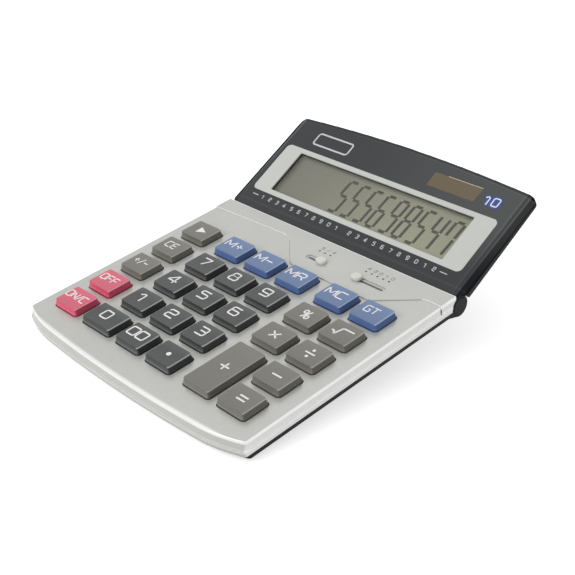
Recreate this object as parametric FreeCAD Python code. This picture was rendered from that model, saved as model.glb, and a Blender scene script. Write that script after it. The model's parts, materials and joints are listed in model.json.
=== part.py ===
import FreeCAD, Part
import math
import os

# Desktop calculator with a tilting display. Millimetres and degrees.
# Deck frame: X to the right from the middle, Y to the rear along the key deck from the front edge,
# Z square to the deck, with 0 on the deck. Display frame: X as before, Y up the display from the
# hinge axis, Z out of its face. Level frame: as the deck frame, but turned to stand on the desk.

# Stance
SLOPE = 8.55
DISPLAY_TILT = 24.45

# Body shells
SIDE_MARGIN = 9.6
FRONT_RADIUS = 760.0
SHOULDER_X = 50.0
SHOULDER_RADIUS = 70.0
CORNER_RADIUS = 1.6
BAND_FRONT = -0.3
UPPER_INSET = 0.4
FRONT_LEAN = 1.5
BAND_HEIGHT = 2.3
LOWER_HEIGHT = 2.6
WALL = 1.6
PLATE = 1.6
FLOOR = 1.6
LOWER_INSET = 0.3
LOWER_SETBACK = 2.2
LIP_HEIGHT = 1.2
LIP_WALL = 0.9
TOP_EDGE = 0.5
BOTTOM_EDGE = 0.6
FIT = 0.15
OVERCUT = 1.0

# Keypad
KEY_FRONT = 21.4
ROW_PITCH = 17.9
COLUMN_PITCH = 20.4
GROUP_GAP = 4.0
KEYPAD_SHIFT = -0.25
KEY_WIDTH = 15.0
KEY_DEPTH = 12.3
ZERO_EXTRA = 3.6
KEY_RISE = 3.3
KEY_DRAFT = 0.65
KEY_LEDGE = 1.5
KEY_LEDGE_WIDTH = 0.15
KEY_CORNER = 1.0
KEY_EDGE = 0.3
KEY_WALL = 1.3
KEY_GAP = 0.35
KEY_TRAVEL = 1.5
FLANGE_LIP = 0.8
FLANGE_THICKNESS = 0.8
FLANGE_GAP = 0.2
STEM_RADIUS = 2.2
PRESSED_GAP = 0.2

# Boards and key mat inside the body
BOARD_THICKNESS = 1.0
BOARD_STANDOFF = 1.0
STANDOFF_RADIUS = 2.5
BOARD_SIDE_GAP = 4.3
BOARD_FRONT_GAP = 6.4
BOARD_CORNER = 5.0
BOARD_REAR_GAP = 1.2
MAT_THICKNESS = 0.4
MAT_COLLAR = 0.7
COLLAR_WALL = 1.4
STEM_ROOM = 0.4
MAT_MARGIN = 8.2
CHIP_SIZE = 11.0
CHIP_HEIGHT = 1.0

# Rear cover with the two slide switches
COVER_RAISE = 0.4
COVER_THICKNESS = 1.6
SEAT_THICKNESS = 1.4
COVER_LINE = 12.5
COVER_BOW = 2.9
COVER_SIDE = 0.2
COVER_SEAM = 0.05
COVER_EDGE = 0.3
REAR_MARGIN = 28.7
TONGUE_LEFT = -3.0
TONGUE_RIGHT = 44.9
TONGUE_RUN = 18.3
TONGUE_MARGIN = 1.4
TONGUE_OUTER_RADIUS = 12.0
TONGUE_INNER_RADIUS = 6.0
SKIRT_WALL = 1.0
SIDE_SLIT = 0.6
DECK_SETBACK = 2.75
SLIDER_SETBACK = 17.8
SLIDER_PITCH = 3.45
ROUNDING_X = 3.9
ROUNDING_STEPS = 2
DECIMAL_X = 36.0
DECIMAL_STEPS = 4
KNOB_WIDTH = 5.2
KNOB_DEPTH = 4.2
KNOB_HEIGHT = 1.5
SLIDE_STEM_WIDTH = 2.4
SLIDE_STEM_DEPTH = 0.9
SLIDE_GAP = 0.15
DISH_GROWTH = 1.1
DISH_DEPTH = 0.5
SWITCH_DEPTH = 6.5
SWITCH_MARGIN = 1.0
SLIDE_FLANGE = 0.6

# Hinge
FOLDED_DROP = 0.3
BARREL_RADIUS = 5.3
BARREL_BORE = 3.9
BARREL_END = 4.0
HINGE_ROOM = 0.9
EAR_RADIUS = 4.9
EAR_GAP = 0.4
EAR_INSET = 0.6
EAR_THICKNESS = 5.4
EAR_ROOM = 0.5
ARM_REACH = 7.5
ARM_ROOT = 3.0
PIN_RADIUS = 1.8
PIN_CLEARANCE = 0.05
PIN_HEAD_RADIUS = 2.8
PIN_HEAD = 0.8
CAP_RADIUS = 4.0
CAP_SEAT = 0.8
CAP_PROUD = 0.3
WASHER_CLEARANCE = 0.05

# Display housing
DISPLAY_OVERHANG = 0.9
DISPLAY_BOTTOM = 0.9
DISPLAY_TOP_MARGIN = 7.6
DISPLAY_ARCH = 3.1
DISPLAY_CORNER = 3.0
DISPLAY_FACE = 6.0
DISPLAY_TOP_THICKNESS = 4.5
FACET_DROP = 0.3
FACET_HEIGHT = 6.0
DISPLAY_WALL = 1.6
DISPLAY_SIDE_WALL = 4.0
BACK_WALL = 1.2
DISPLAY_SPLIT = 3.0
DISPLAY_EDGE = 0.6
SIDE_BEVEL = 3.0
SIDE_BEVEL_TAPER = 1.7
SIDE_BEVEL_DROP = 1.5

# Bezel, liquid crystal and solar cell
BEZEL_LEFT_MARGIN = 6.4
BEZEL_RIGHT_MARGIN = 7.9
BEZEL_BOTTOM_MARGIN = 10.4
BEZEL_HEIGHT = 30.1
BEZEL_CORNER = 2.6
BEZEL_THICKNESS = 0.7
WINDOW_LEFT_MARGIN = 10.8
WINDOW_RIGHT_MARGIN = 11.5
WINDOW_BOTTOM_MARGIN = 2.7
WINDOW_TOP_MARGIN = 2.5
WINDOW_CORNER = 0.6
LENS_MARGIN = 1.6
LENS_THICKNESS = 0.5
GLASS_MARGIN = 1.4
GLASS_CORNER = 0.2
GLASS_THICKNESS = 1.1
REFLECTOR_THICKNESS = 0.2
CONNECTOR_WIDTH = 1.0
CONNECTOR_HEIGHT = 0.8
CONNECTOR_INSET = 2.0
DISPLAY_BOARD_HEIGHT = 12.0
DISPLAY_BOARD_OVERHANG = 3.0
DISPLAY_BOARD_THICKNESS = 0.6
SOLAR_RIGHT_MARGIN = 25.3
SOLAR_WIDTH = 27.6
SOLAR_HEIGHT = 8.2
SOLAR_GAP = 4.5
SOLAR_LENS = 0.6
SOLAR_LEDGE = 0.7
SOLAR_CELL_THICKNESS = 0.9

# Screws
SCREW_RADIUS = 1.15
SCREW_CLEARANCE = 0.05
SCREW_HEAD_RADIUS = 2.3
SCREW_HEAD = 0.8
SCREW_RECESS = 0.9
BOSS_RADIUS = 2.4
BOSS_GAP = 1.2
BOSS_ROOM = 0.4
FRONT_SCREW_INSET = 22.1
REAR_SCREW_INSET = 12.3
SCREW_TIP = 1.7
CROSS_WIDTH = 0.6
CROSS_DEPTH = 0.4
DISPLAY_SCREW_RADIUS = 0.8
DISPLAY_SCREW_HEAD_RADIUS = 1.5
DISPLAY_SCREW_HEAD = 0.5
DISPLAY_SCREW_INSET = 6.0
DISPLAY_BOSS_RADIUS = 1.7
HEAD_ROOM = 0.2
DISPLAY_CROSS_DEPTH = 0.25

# Feet, battery bay and its sliding door, in the level frame
FOOT_RADIUS = 4.0
FRONT_FOOT_INSET = 13.1
FRONT_FOOT_Y = 10.5
FRONT_FOOT_HEIGHT = 2.0
REAR_FOOT_X = 36.5
REAR_FOOT_SETBACK = 6.0
REAR_FOOT_HEIGHT = 1.5
BAY_HALF = 43.0
BAY_LENGTH = 40.0
BAY_CORNER = 4.0
BAY_WALL = 1.6
DOOR_HALF = 28.0
DOOR_LENGTH = 34.0
DOOR_TONGUE = 2.0
DOOR_TONGUE_THICKNESS = 0.8
DOOR_GAP = 0.25
GRIP_RADIUS = 0.8
GRIP_PITCH = 3.0
GRIP_SETBACK = 8.0
CELL_RADIUS = 5.25
CELL_LENGTH = 43.3
CELL_SETBACK = 18.5
NIPPLE_RADIUS = 1.9
NIPPLE_LENGTH = 1.0
CELL_GAP = 0.35
CONTACT_THICKNESS = 0.4
CONTACT_WIDTH = 7.0
CRADLE_WALL = 1.2
CONTACT_ROOM = 0.3
TAB_WIDTH = 3.5
LEAF_DROP = 0.6
LEAF_HEIGHT = 9.0

# Ribbon cable through the hinge
RIBBON_INSET = 8.7
RIBBON_WIDTH = 8.0
RIBBON_THICKNESS = 0.3
RIBBON_ROOM = 0.7
RIBBON_SPLIT = 0.35

# Widths that follow from the sizes above
KEYPAD_HALF = (5 * COLUMN_PITCH + 2 * GROUP_GAP + KEY_WIDTH) / 2
BODY_HALF = KEYPAD_HALF + SIDE_MARGIN
UPPER_HALF = BODY_HALF - UPPER_INSET
COVER_HALF = UPPER_HALF + COVER_SIDE
CAVITY_HALF = UPPER_HALF - WALL
LOWER_HALF = BODY_HALF - LOWER_INSET
BOARD_HALF = CAVITY_HALF - BOARD_SIDE_GAP
EAR_OUTER = BODY_HALF - EAR_INSET
EAR_INNER = EAR_OUTER - EAR_THICKNESS
EAR_POCKET = EAR_OUTER - CAP_SEAT
BARREL_HALF = EAR_INNER - EAR_GAP
HINGE_PARTING = BARREL_HALF + EAR_GAP / 2
DISPLAY_HALF = BODY_HALF + DISPLAY_OVERHANG
BEZEL_X = (-DISPLAY_HALF + BEZEL_LEFT_MARGIN, DISPLAY_HALF - BEZEL_RIGHT_MARGIN)
WINDOW_X = (BEZEL_X[0] + WINDOW_LEFT_MARGIN, BEZEL_X[1] - WINDOW_RIGHT_MARGIN)
SOLAR_X = (DISPLAY_HALF - SOLAR_RIGHT_MARGIN - SOLAR_WIDTH, DISPLAY_HALF - SOLAR_RIGHT_MARGIN)
RIBBON_X = WINDOW_X[0] + RIBBON_INSET

# Depths below the deck, from the stack of deck plate, key flange, travel, mat, board and floor
FLANGE_TOP = -PLATE - FLANGE_GAP
FLANGE_BOTTOM = FLANGE_TOP - FLANGE_THICKNESS
COLLAR_TOP = FLANGE_BOTTOM - KEY_TRAVEL - PRESSED_GAP
MAT_TOP = COLLAR_TOP - MAT_COLLAR
BOARD_TOP = MAT_TOP - MAT_THICKNESS
BOARD_BOTTOM = BOARD_TOP - BOARD_THICKNESS
FLOOR_TOP = BOARD_BOTTOM - BOARD_STANDOFF
SHELL_DEPTH = FLOOR - FLOOR_TOP
BAND_DEPTH = SHELL_DEPTH - LOWER_HEIGHT
STEP_DEPTH = BAND_DEPTH - BAND_HEIGHT
HINGE_DEPTH = DISPLAY_FACE + FOLDED_DROP
STEM_BOTTOM = BOARD_TOP + PRESSED_GAP + KEY_TRAVEL
SEAT_TOP = COVER_RAISE - COVER_THICKNESS
SEAT_BOTTOM = SEAT_TOP - SEAT_THICKNESS

# Places along the deck, from the front edge through the key rows to the hinge
UPPER_FRONT = BAND_FRONT + UPPER_INSET
CAVITY_FRONT = UPPER_FRONT + FRONT_LEAN + WALL
LOWER_FRONT = BAND_FRONT + LOWER_SETBACK
KEY_ROW_EDGE = KEY_DEPTH / 2 + KEY_DRAFT + FLANGE_LIP
KEY_REAR = KEY_FRONT + 4 * ROW_PITCH + KEY_DEPTH / 2 + KEY_DRAFT
TONGUE_FRONT = KEY_REAR + TONGUE_MARGIN
HINGE_Y = KEY_REAR + REAR_MARGIN
COVER_LINE_Y = HINGE_Y - COVER_LINE
DECK_REAR = HINGE_Y - DECK_SETBACK
SLIDER_Y = HINGE_Y - SLIDER_SETBACK
ROOM_RADIUS = BARREL_RADIUS + HINGE_ROOM
BOARD_REAR = HINGE_Y - ROOM_RADIUS - WALL - BOARD_REAR_GAP

# Places up the display
BEZEL_Y = (DISPLAY_BOTTOM + BEZEL_BOTTOM_MARGIN, DISPLAY_BOTTOM + BEZEL_BOTTOM_MARGIN + BEZEL_HEIGHT)
WINDOW_Y = (BEZEL_Y[0] + WINDOW_BOTTOM_MARGIN, BEZEL_Y[1] - WINDOW_TOP_MARGIN)
SOLAR_Y = (BEZEL_Y[1] + SOLAR_GAP, BEZEL_Y[1] + SOLAR_GAP + SOLAR_HEIGHT)
DISPLAY_TOP = SOLAR_Y[1] + DISPLAY_TOP_MARGIN
DISPLAY_RADIUS = (DISPLAY_HALF ** 2 + DISPLAY_ARCH ** 2) / (2 * DISPLAY_ARCH)
FACE_INNER = DISPLAY_FACE - DISPLAY_WALL
BEZEL_SEAT = DISPLAY_FACE - BEZEL_THICKNESS
LENS_SEAT = BEZEL_SEAT - LENS_THICKNESS
GLASS_BOTTOM = FACE_INNER - GLASS_THICKNESS
GLASS_Y = WINDOW_Y[0] - GLASS_MARGIN
REFLECTOR_BOTTOM = GLASS_BOTTOM - REFLECTOR_THICKNESS
DISPLAY_BOARD_TOP = GLASS_BOTTOM - CONNECTOR_HEIGHT
DISPLAY_BOARD_LOW = GLASS_Y - DISPLAY_BOARD_OVERHANG

# Level frame: the desk, the battery bay and its cell
SINE = math.sin(math.radians(SLOPE))
COSINE = math.cos(math.radians(SLOPE))
GROUND = FRONT_FOOT_Y * SINE - (SHELL_DEPTH + FRONT_FOOT_HEIGHT) * COSINE
BAY_BOTTOM = GROUND + REAR_FOOT_HEIGHT
BAY_REAR = HINGE_Y * COSINE + HINGE_DEPTH * SINE - ROOM_RADIUS - WALL
BAY_FRONT = BAY_REAR - BAY_LENGTH
DOOR_FRONT = BAY_REAR - DOOR_LENGTH
TONGUE_TOP = BAY_BOTTOM + BAY_WALL + 2 * DOOR_GAP + DOOR_TONGUE_THICKNESS
CELL_Y = BAY_REAR - CELL_SETBACK
CELL_Z = TONGUE_TOP - DOOR_GAP + CELL_GAP + CELL_RADIUS
CELL_HALF = (CELL_LENGTH + NIPPLE_LENGTH) / 2
FAR = 10 * BODY_HALF

V = FreeCAD.Vector
ZERO = V(0, 0, 0)
X_AXIS = V(1, 0, 0)


def box(x, y, z):
    """Box between (low, high) pairs on the three axes."""
    return Part.makeBox(x[1] - x[0], y[1] - y[0], z[1] - z[0], V(x[0], y[0], z[0]))


def rod(radius, x, y=HINGE_Y, z=-HINGE_DEPTH):
    """Cylinder along X between the pair x, on the hinge axis unless told otherwise."""
    return Part.makeCylinder(radius, x[1] - x[0], V(x[0], y, z), X_AXIS)


def post(radius, x, y, z):
    """Cylinder along Z at (x, y) between the pair z."""
    return Part.makeCylinder(radius, z[1] - z[0], V(x, y, z[0]))


def union(shapes):
    """One shape from several that meet."""
    shapes = list(shapes)
    return shapes[0].multiFuse(shapes[1:]).removeSplitter()


def both_sides(shape):
    """The shape with its mirror image across the middle plane."""
    return [shape, shape.mirror(ZERO, X_AXIS)]


def outline(corners, z=0.0):
    """Closed wire through (x, y, radius) corners, each rounded by its own radius."""
    arcs = []
    for i, (x, y, radius) in enumerate(corners):
        corner = V(x, y, z)
        before = V(corners[i - 1][0], corners[i - 1][1], z)
        after = V(corners[(i + 1) % len(corners)][0], corners[(i + 1) % len(corners)][1], z)
        back = (before - corner).normalize()
        ahead = (after - corner).normalize()
        half = back.getAngle(ahead) / 2
        reach = radius / math.tan(half)
        inward = (back + ahead).normalize() * (radius / math.sin(half) - radius)
        arcs.append((corner + back * reach, corner + inward, corner + ahead * reach, radius))
    edges = []
    for i, (start, middle, end, radius) in enumerate(arcs):
        if radius > 0:
            edges.append(Part.Arc(start, middle, end).toShape())
        following = arcs[(i + 1) % len(arcs)][0]
        if end.distanceToPoint(following) > 1e-6:
            edges.append(Part.makeLine(end, following))
    return Part.Wire(edges)


def rectangle(x, y, radius, z=0.0):
    """Rounded rectangle between the pairs x and y."""
    corners = ((x[0], y[0]), (x[1], y[0]), (x[1], y[1]), (x[0], y[1]))
    return outline([(cx, cy, radius) for cx, cy in corners], z)


def slab(wire, z):
    """Prism on a wire between the pair z; the wire is drawn at height 0."""
    solid = Part.Face(wire).extrude(V(0, 0, z[1] - z[0]))
    solid.translate(V(0, 0, z[0]))
    return solid


def arched(half, base, apex, radius, corner, z=0.0):
    """Outline with straight sides and base, whose far edge is a gentle arc with round corners."""
    way = 1 if apex > base else -1
    centre_y = apex - way * radius
    corner_x = half - corner
    corner_y = centre_y + way * math.sqrt((radius - corner) ** 2 - corner_x ** 2)
    centre = V(corner_x, corner_y, z)
    outward = V(corner_x, corner_y - centre_y, 0).normalize()
    meet = centre + outward * corner
    middle = centre + (outward + X_AXIS).normalize() * corner
    side = V(half, corner_y, z)
    left = [V(-p.x, p.y, z) for p in (meet, middle, side)]
    edges = [Part.makeLine(V(-half, base, z), V(half, base, z)), Part.makeLine(V(half, base, z), side)]
    edges.append(Part.Arc(side, middle, meet).toShape())
    edges.append(Part.Arc(meet, V(0, apex, z), left[0]).toShape())
    edges.append(Part.Arc(left[0], left[1], left[2]).toShape())
    edges.append(Part.makeLine(left[2], V(-half, base, z)))
    return Part.Wire(edges)


def body_outline(half, front, rear=DECK_REAR, z=0.0):
    """Plan outline of the body: the front edge bows gently and bends back more at its shoulders."""
    turn = math.asin(SHOULDER_X / FRONT_RADIUS)
    outward = V(math.sin(turn), -math.cos(turn), 0)
    start = V(0, front + FRONT_RADIUS, z) + outward * FRONT_RADIUS
    shoulder = start - outward * SHOULDER_RADIUS
    centre_x = half - CORNER_RADIUS
    drop = math.sqrt((SHOULDER_RADIUS - CORNER_RADIUS) ** 2 - (centre_x - shoulder.x) ** 2)
    centre = V(centre_x, shoulder.y - drop, z)
    way = (centre - shoulder).normalize()
    points = [V(half, centre.y, z), centre + (way + X_AXIS).normalize() * CORNER_RADIUS,
              centre + way * CORNER_RADIUS, shoulder + (way + outward).normalize() * SHOULDER_RADIUS, start]
    left = [V(-p.x, p.y, z) for p in points]
    edges = [Part.makeLine(V(-half, rear, z), V(half, rear, z)), Part.makeLine(V(half, rear, z), points[0]),
             Part.Arc(*points[:3]).toShape(), Part.Arc(*points[2:]).toShape(),
             Part.Arc(start, V(0, front, z), left[4]).toShape(), Part.Arc(*left[:1:-1]).toShape(),
             Part.Arc(*left[2::-1]).toShape(), Part.makeLine(left[0], V(-half, rear, z))]
    return Part.Wire(edges)


def display_outline(inset=0.0, side=0.0, bottom=DISPLAY_BOTTOM):
    """Front outline of the display housing, drawn in by an inset at the top and one at the sides."""
    corner = max(DISPLAY_CORNER - inset, DISPLAY_EDGE)
    return arched(DISPLAY_HALF - side, bottom, DISPLAY_TOP - inset, DISPLAY_RADIUS - inset, corner)


def profile(points, x):
    """Prism along X between the pair x, on a polygon of (y, z) points."""
    path = [V(x[0], y, z) for y, z in points]
    return Part.Face(Part.makePolygon(path + path[:1])).extrude(V(x[1] - x[0], 0, 0))


def strip(points, thickness, x):
    """Thin band of even thickness that follows (y, z) points, as wide as the pair x."""
    upper = []
    for i, (y, z) in enumerate(points):
        before = points[max(i - 1, 0)]
        after = points[min(i + 1, len(points) - 1)]
        a = V(y - before[0], z - before[1], 0)
        b = V(after[0] - y, after[1] - z, 0)
        a = a.normalize() if a.Length > 0 else b.normalize()
        b = b.normalize() if b.Length > 0 else a
        square = V(-(a.y + b.y), a.x + b.x, 0).normalize()
        reach = thickness / (square.x * -a.y + square.y * a.x)
        upper.append((y + square.x * reach, z + square.y * reach))
    return profile(list(points) + upper[::-1], x)


def edges_at(shape, z):
    """Edges that lie at height z."""
    return [e for e in shape.Edges if all(abs(v.Z - z) < 1e-4 for v in e.Vertexes)]


def level_to_deck(shape):
    """Turn a shape from the level frame to the deck frame."""
    shape.rotate(ZERO, X_AXIS, -SLOPE)
    return shape


def display_to_deck(shape):
    """Turn and place a shape from the display frame to the deck frame."""
    shape.rotate(ZERO, X_AXIS, DISPLAY_TILT)
    shape.translate(V(0, HINGE_Y, -HINGE_DEPTH))
    return shape


def column_x(column):
    """Middle of a key column, with the wider gaps after the first and the fourth."""
    span = 5 * COLUMN_PITCH + 2 * GROUP_GAP
    return KEYPAD_SHIFT - span / 2 + column * COLUMN_PITCH + GROUP_GAP * ((column > 0) + (column > 3))


def row_y(row):
    """Middle of a key row."""
    return KEY_FRONT + row * ROW_PITCH


# Each key: name, column, row
KEYS = [
    ("on", 0, 0), ("off", 0, 1), ("plus_minus", 0, 2), ("ce", 0, 3), ("backspace", 0, 4),
    ("0", 1, 0), ("1", 1, 1), ("4", 1, 2), ("7", 1, 3), ("m_plus", 1, 4),
    ("00", 2, 0), ("2", 2, 1), ("5", 2, 2), ("8", 2, 3), ("m_minus", 2, 4),
    ("point", 3, 0), ("3", 3, 1), ("6", 3, 2), ("9", 3, 3), ("mr", 3, 4),
    ("plus", 4, 0), ("times", 4, 2), ("percent", 4, 3), ("mc", 4, 4),
    ("equals", 5, 0), ("minus", 5, 1), ("divide", 5, 2), ("sqrt", 5, 3), ("gt", 5, 4),
]


def key_place(name, column, row):
    """Centre and half sizes of a key's top: the nought is wider, the plus spans two rows."""
    x, y = column_x(column), row_y(row)
    half_x, half_y = KEY_WIDTH / 2, KEY_DEPTH / 2
    if name == "0":
        return x - ZERO_EXTRA / 2, y, half_x + ZERO_EXTRA / 2, half_y
    if name == "plus":
        return x, y + ROW_PITCH / 2, half_x, half_y + ROW_PITCH / 2
    return x, y, half_x, half_y


def key_outline(key, growth, z=0.0):
    """Rounded outline of a key, grown past its top by a growth."""
    x, y, half_x, half_y = key_place(*key)
    return rectangle((x - half_x - growth, x + half_x + growth),
                     (y - half_y - growth, y + half_y + growth), max(KEY_CORNER + growth, KEY_EDGE), z)


def make_key(key):
    """Hollow key cap with a retaining flange under the deck and a stem to the mat."""
    lean = KEY_DRAFT * (1 - KEY_LEDGE / KEY_RISE)
    cap = Part.makeLoft([key_outline(key, lean - KEY_LEDGE_WIDTH, KEY_LEDGE),
                         key_outline(key, 0, KEY_RISE)], True, True)
    cap = cap.makeFillet(KEY_EDGE, edges_at(cap, KEY_RISE))
    lower = Part.makeLoft([key_outline(key, KEY_DRAFT), key_outline(key, lean, KEY_LEDGE)], True, True)
    skirt = slab(key_outline(key, KEY_DRAFT), (FLANGE_BOTTOM, 0))
    flange = slab(key_outline(key, KEY_DRAFT + FLANGE_LIP), (FLANGE_BOTTOM, FLANGE_TOP))
    hollow = slab(key_outline(key, -KEY_WALL), (FLANGE_BOTTOM, KEY_RISE - KEY_WALL))
    stem = post(STEM_RADIUS, *key_place(*key)[:2], (STEM_BOTTOM, KEY_RISE - KEY_WALL))
    return union([union([cap, lower, skirt, flange]).cut(hollow), stem])


def screw_places():
    """Six body screws: two at the front, two between the key groups, two at the rear."""
    front = row_y(0) - KEY_ROW_EDGE - BOSS_RADIUS - BOSS_GAP
    middle = (row_y(1) + row_y(3)) / 2
    rear = (KEY_REAR + FLANGE_LIP + COVER_LINE_Y) / 2
    left_gap = (column_x(0) + column_x(1)) / 2
    right_gap = (column_x(3) + column_x(4)) / 2
    places = [(left_gap, middle), (right_gap, middle)]
    for side in (-1, 1):
        places.append((side * (BODY_HALF - FRONT_SCREW_INSET), front))
        places.append((side * (BODY_HALF - REAR_SCREW_INSET), rear))
    return places


def cover_outline(growth, overhang=0.0):
    """Plan outline of the rear cover: a bowed band across the rear with a tongue round the switches."""
    def line(x):
        return COVER_LINE_Y + COVER_BOW * (1 - abs(x) / COVER_HALF) - growth
    half = COVER_HALF + overhang
    rear = DECK_REAR + overhang
    front = TONGUE_FRONT - growth
    left, right = TONGUE_LEFT - growth, TONGUE_RIGHT + growth
    corners = [(-half, line(half), 0), (left - TONGUE_RUN, line(left - TONGUE_RUN), TONGUE_OUTER_RADIUS),
               (left, front, TONGUE_INNER_RADIUS), (right, front, TONGUE_INNER_RADIUS),
               (right + TONGUE_RUN, line(right + TONGUE_RUN), TONGUE_INNER_RADIUS),
               (half, line(half), 0), (half, rear, 0), (-half, rear, 0)]
    return outline(corners)


def hinge_room():
    """Space that the display's barrel and the ears need at the rear of the body."""
    middle = rod(ROOM_RADIUS, (-HINGE_PARTING, HINGE_PARTING))
    return [middle] + both_sides(rod(EAR_RADIUS + EAR_ROOM, (HINGE_PARTING, FAR)))


def rear_wall(z):
    """Curved wall that closes the body in front of the barrel, between the pair z."""
    span = (-HINGE_PARTING, HINGE_PARTING)
    pipe = rod(ROOM_RADIUS + WALL, span).cut(rod(ROOM_RADIUS, span))
    return pipe.common(box(span, (0, DECK_REAR), z))


def slots(growth, z):
    """Openings along X for the stems of the two slide switches."""
    shapes = []
    for x, steps in ((ROUNDING_X, ROUNDING_STEPS), (DECIMAL_X, DECIMAL_STEPS)):
        half_x = (steps * SLIDER_PITCH + SLIDE_STEM_WIDTH) / 2 + SLIDE_GAP + growth
        half_y = SLIDE_STEM_DEPTH / 2 + SLIDE_GAP + growth
        wire = rectangle((x - half_x, x + half_x), (SLIDER_Y - half_y, SLIDER_Y + half_y), half_y)
        shapes.append(slab(wire, z))
    return shapes


def make_top_shell():
    """Silver upper shell: deck with key windows, walls, lower band, cover seat and screw bosses."""
    top = body_outline(UPPER_HALF, BAND_FRONT + FRONT_LEAN)
    foot = body_outline(UPPER_HALF, UPPER_FRONT, z=-STEP_DEPTH)
    upper = Part.makeLoft([foot, top], True, True)
    rim = [e for e in edges_at(upper, 0) if e.BoundBox.YMin < COVER_LINE_Y]
    upper = upper.makeFillet(TOP_EDGE, rim)
    band = slab(body_outline(BODY_HALF, BAND_FRONT), (-BAND_DEPTH, -STEP_DEPTH))
    shell = union([upper, band])
    cavity = body_outline(CAVITY_HALF, CAVITY_FRONT, FAR)
    shell = shell.cut(slab(cavity, (-BAND_DEPTH - OVERCUT, -PLATE)))
    seat = box((-CAVITY_HALF, CAVITY_HALF), (TONGUE_FRONT - FIT, DECK_REAR), (SEAT_BOTTOM, -PLATE / 2))
    shell = union([shell, seat, rear_wall((-HINGE_DEPTH, SEAT_BOTTOM))])
    windows = [slab(key_outline(key, KEY_DRAFT + KEY_GAP), (-PLATE - OVERCUT, OVERCUT)) for key in KEYS]
    shell = shell.cut(windows + [slab(cover_outline(COVER_SEAM, OVERCUT), (SEAT_TOP, OVERCUT))])
    side_cut = box((COVER_HALF - SKIRT_WALL - FIT, FAR), (COVER_LINE_Y - COVER_SEAM, FAR),
                   (-STEP_DEPTH, OVERCUT))
    shell = shell.cut(both_sides(side_cut) + hinge_room() + slots(0, (SEAT_BOTTOM - OVERCUT, OVERCUT)))
    bosses = [post(BOSS_RADIUS, x, y, (FLOOR_TOP, -PLATE if y < TONGUE_FRONT else SEAT_BOTTOM))
              for x, y in screw_places()]
    bore = SCREW_RADIUS + SCREW_CLEARANCE
    bores = [post(bore, x, y, (FLOOR_TOP - OVERCUT, SEAT_BOTTOM)) for x, y in screw_places()]
    return union([shell] + bosses).cut(bores + [ribbon_passage()])


def make_rear_cover():
    """Raised rear cover with skirts down the sides and dished slots for the switches."""
    plate = slab(cover_outline(0), (SEAT_TOP, COVER_RAISE))
    skirt = box((COVER_HALF - SKIRT_WALL, COVER_HALF), (COVER_LINE_Y + SIDE_SLIT, DECK_REAR),
                (-STEP_DEPTH, COVER_RAISE))
    cover = union([plate] + both_sides(skirt))
    cover = cover.makeFillet(COVER_EDGE, edges_at(cover, COVER_RAISE))
    cover = cover.cut(slots(0, (SEAT_TOP - OVERCUT, COVER_RAISE + OVERCUT)))
    cover = cover.cut(slots(DISH_GROWTH, (COVER_RAISE - DISH_DEPTH, COVER_RAISE + OVERCUT)))
    return cover.cut(hinge_room())


def make_slider(x):
    """Slide switch knob with its stem through the slot and a retaining flange below."""
    def block(width, depth, z, radius):
        return slab(rectangle((x - width / 2, x + width / 2),
                              (SLIDER_Y - depth / 2, SLIDER_Y + depth / 2), radius), z)
    base = COVER_RAISE + FIT
    knob = block(KNOB_WIDTH, KNOB_DEPTH, (base, base + KNOB_HEIGHT), 0.45 * KNOB_DEPTH)
    knob = knob.makeFillet(KNOB_HEIGHT / 3, edges_at(knob, base + KNOB_HEIGHT))
    flange_top = SEAT_BOTTOM - FIT
    stem = block(SLIDE_STEM_WIDTH, SLIDE_STEM_DEPTH, (flange_top, base), 0.45 * SLIDE_STEM_DEPTH)
    flange = block(SLIDE_STEM_WIDTH, SWITCH_DEPTH - SWITCH_MARGIN,
                   (flange_top - SLIDE_FLANGE, flange_top), FIT)
    return union([knob, stem, flange])


def make_switch_bases():
    """Bodies of the two slide switches on the main board."""
    top = SEAT_BOTTOM - 2 * FIT - SLIDE_FLANGE
    cans = []
    for x, steps in ((ROUNDING_X, ROUNDING_STEPS), (DECIMAL_X, DECIMAL_STEPS)):
        half = (steps * SLIDER_PITCH + SLIDE_STEM_WIDTH) / 2 + SWITCH_MARGIN
        can = box((x - half, x + half), (SLIDER_Y - SWITCH_DEPTH / 2, SLIDER_Y + SWITCH_DEPTH / 2),
                  (BOARD_TOP, top))
        cans.append(can)
    return Part.makeCompound(cans)


def ribbon_passage():
    """Opening for the ribbon cable through the curved rear wall."""
    half = RIBBON_WIDTH / 2 + RIBBON_ROOM
    wall = HINGE_Y - ROOM_RADIUS
    return box((RIBBON_X - half, RIBBON_X + half), (wall - WALL - OVERCUT, wall + OVERCUT),
               (-HINGE_DEPTH - RIBBON_ROOM, -HINGE_DEPTH + RIBBON_THICKNESS + RIBBON_ROOM))


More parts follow.
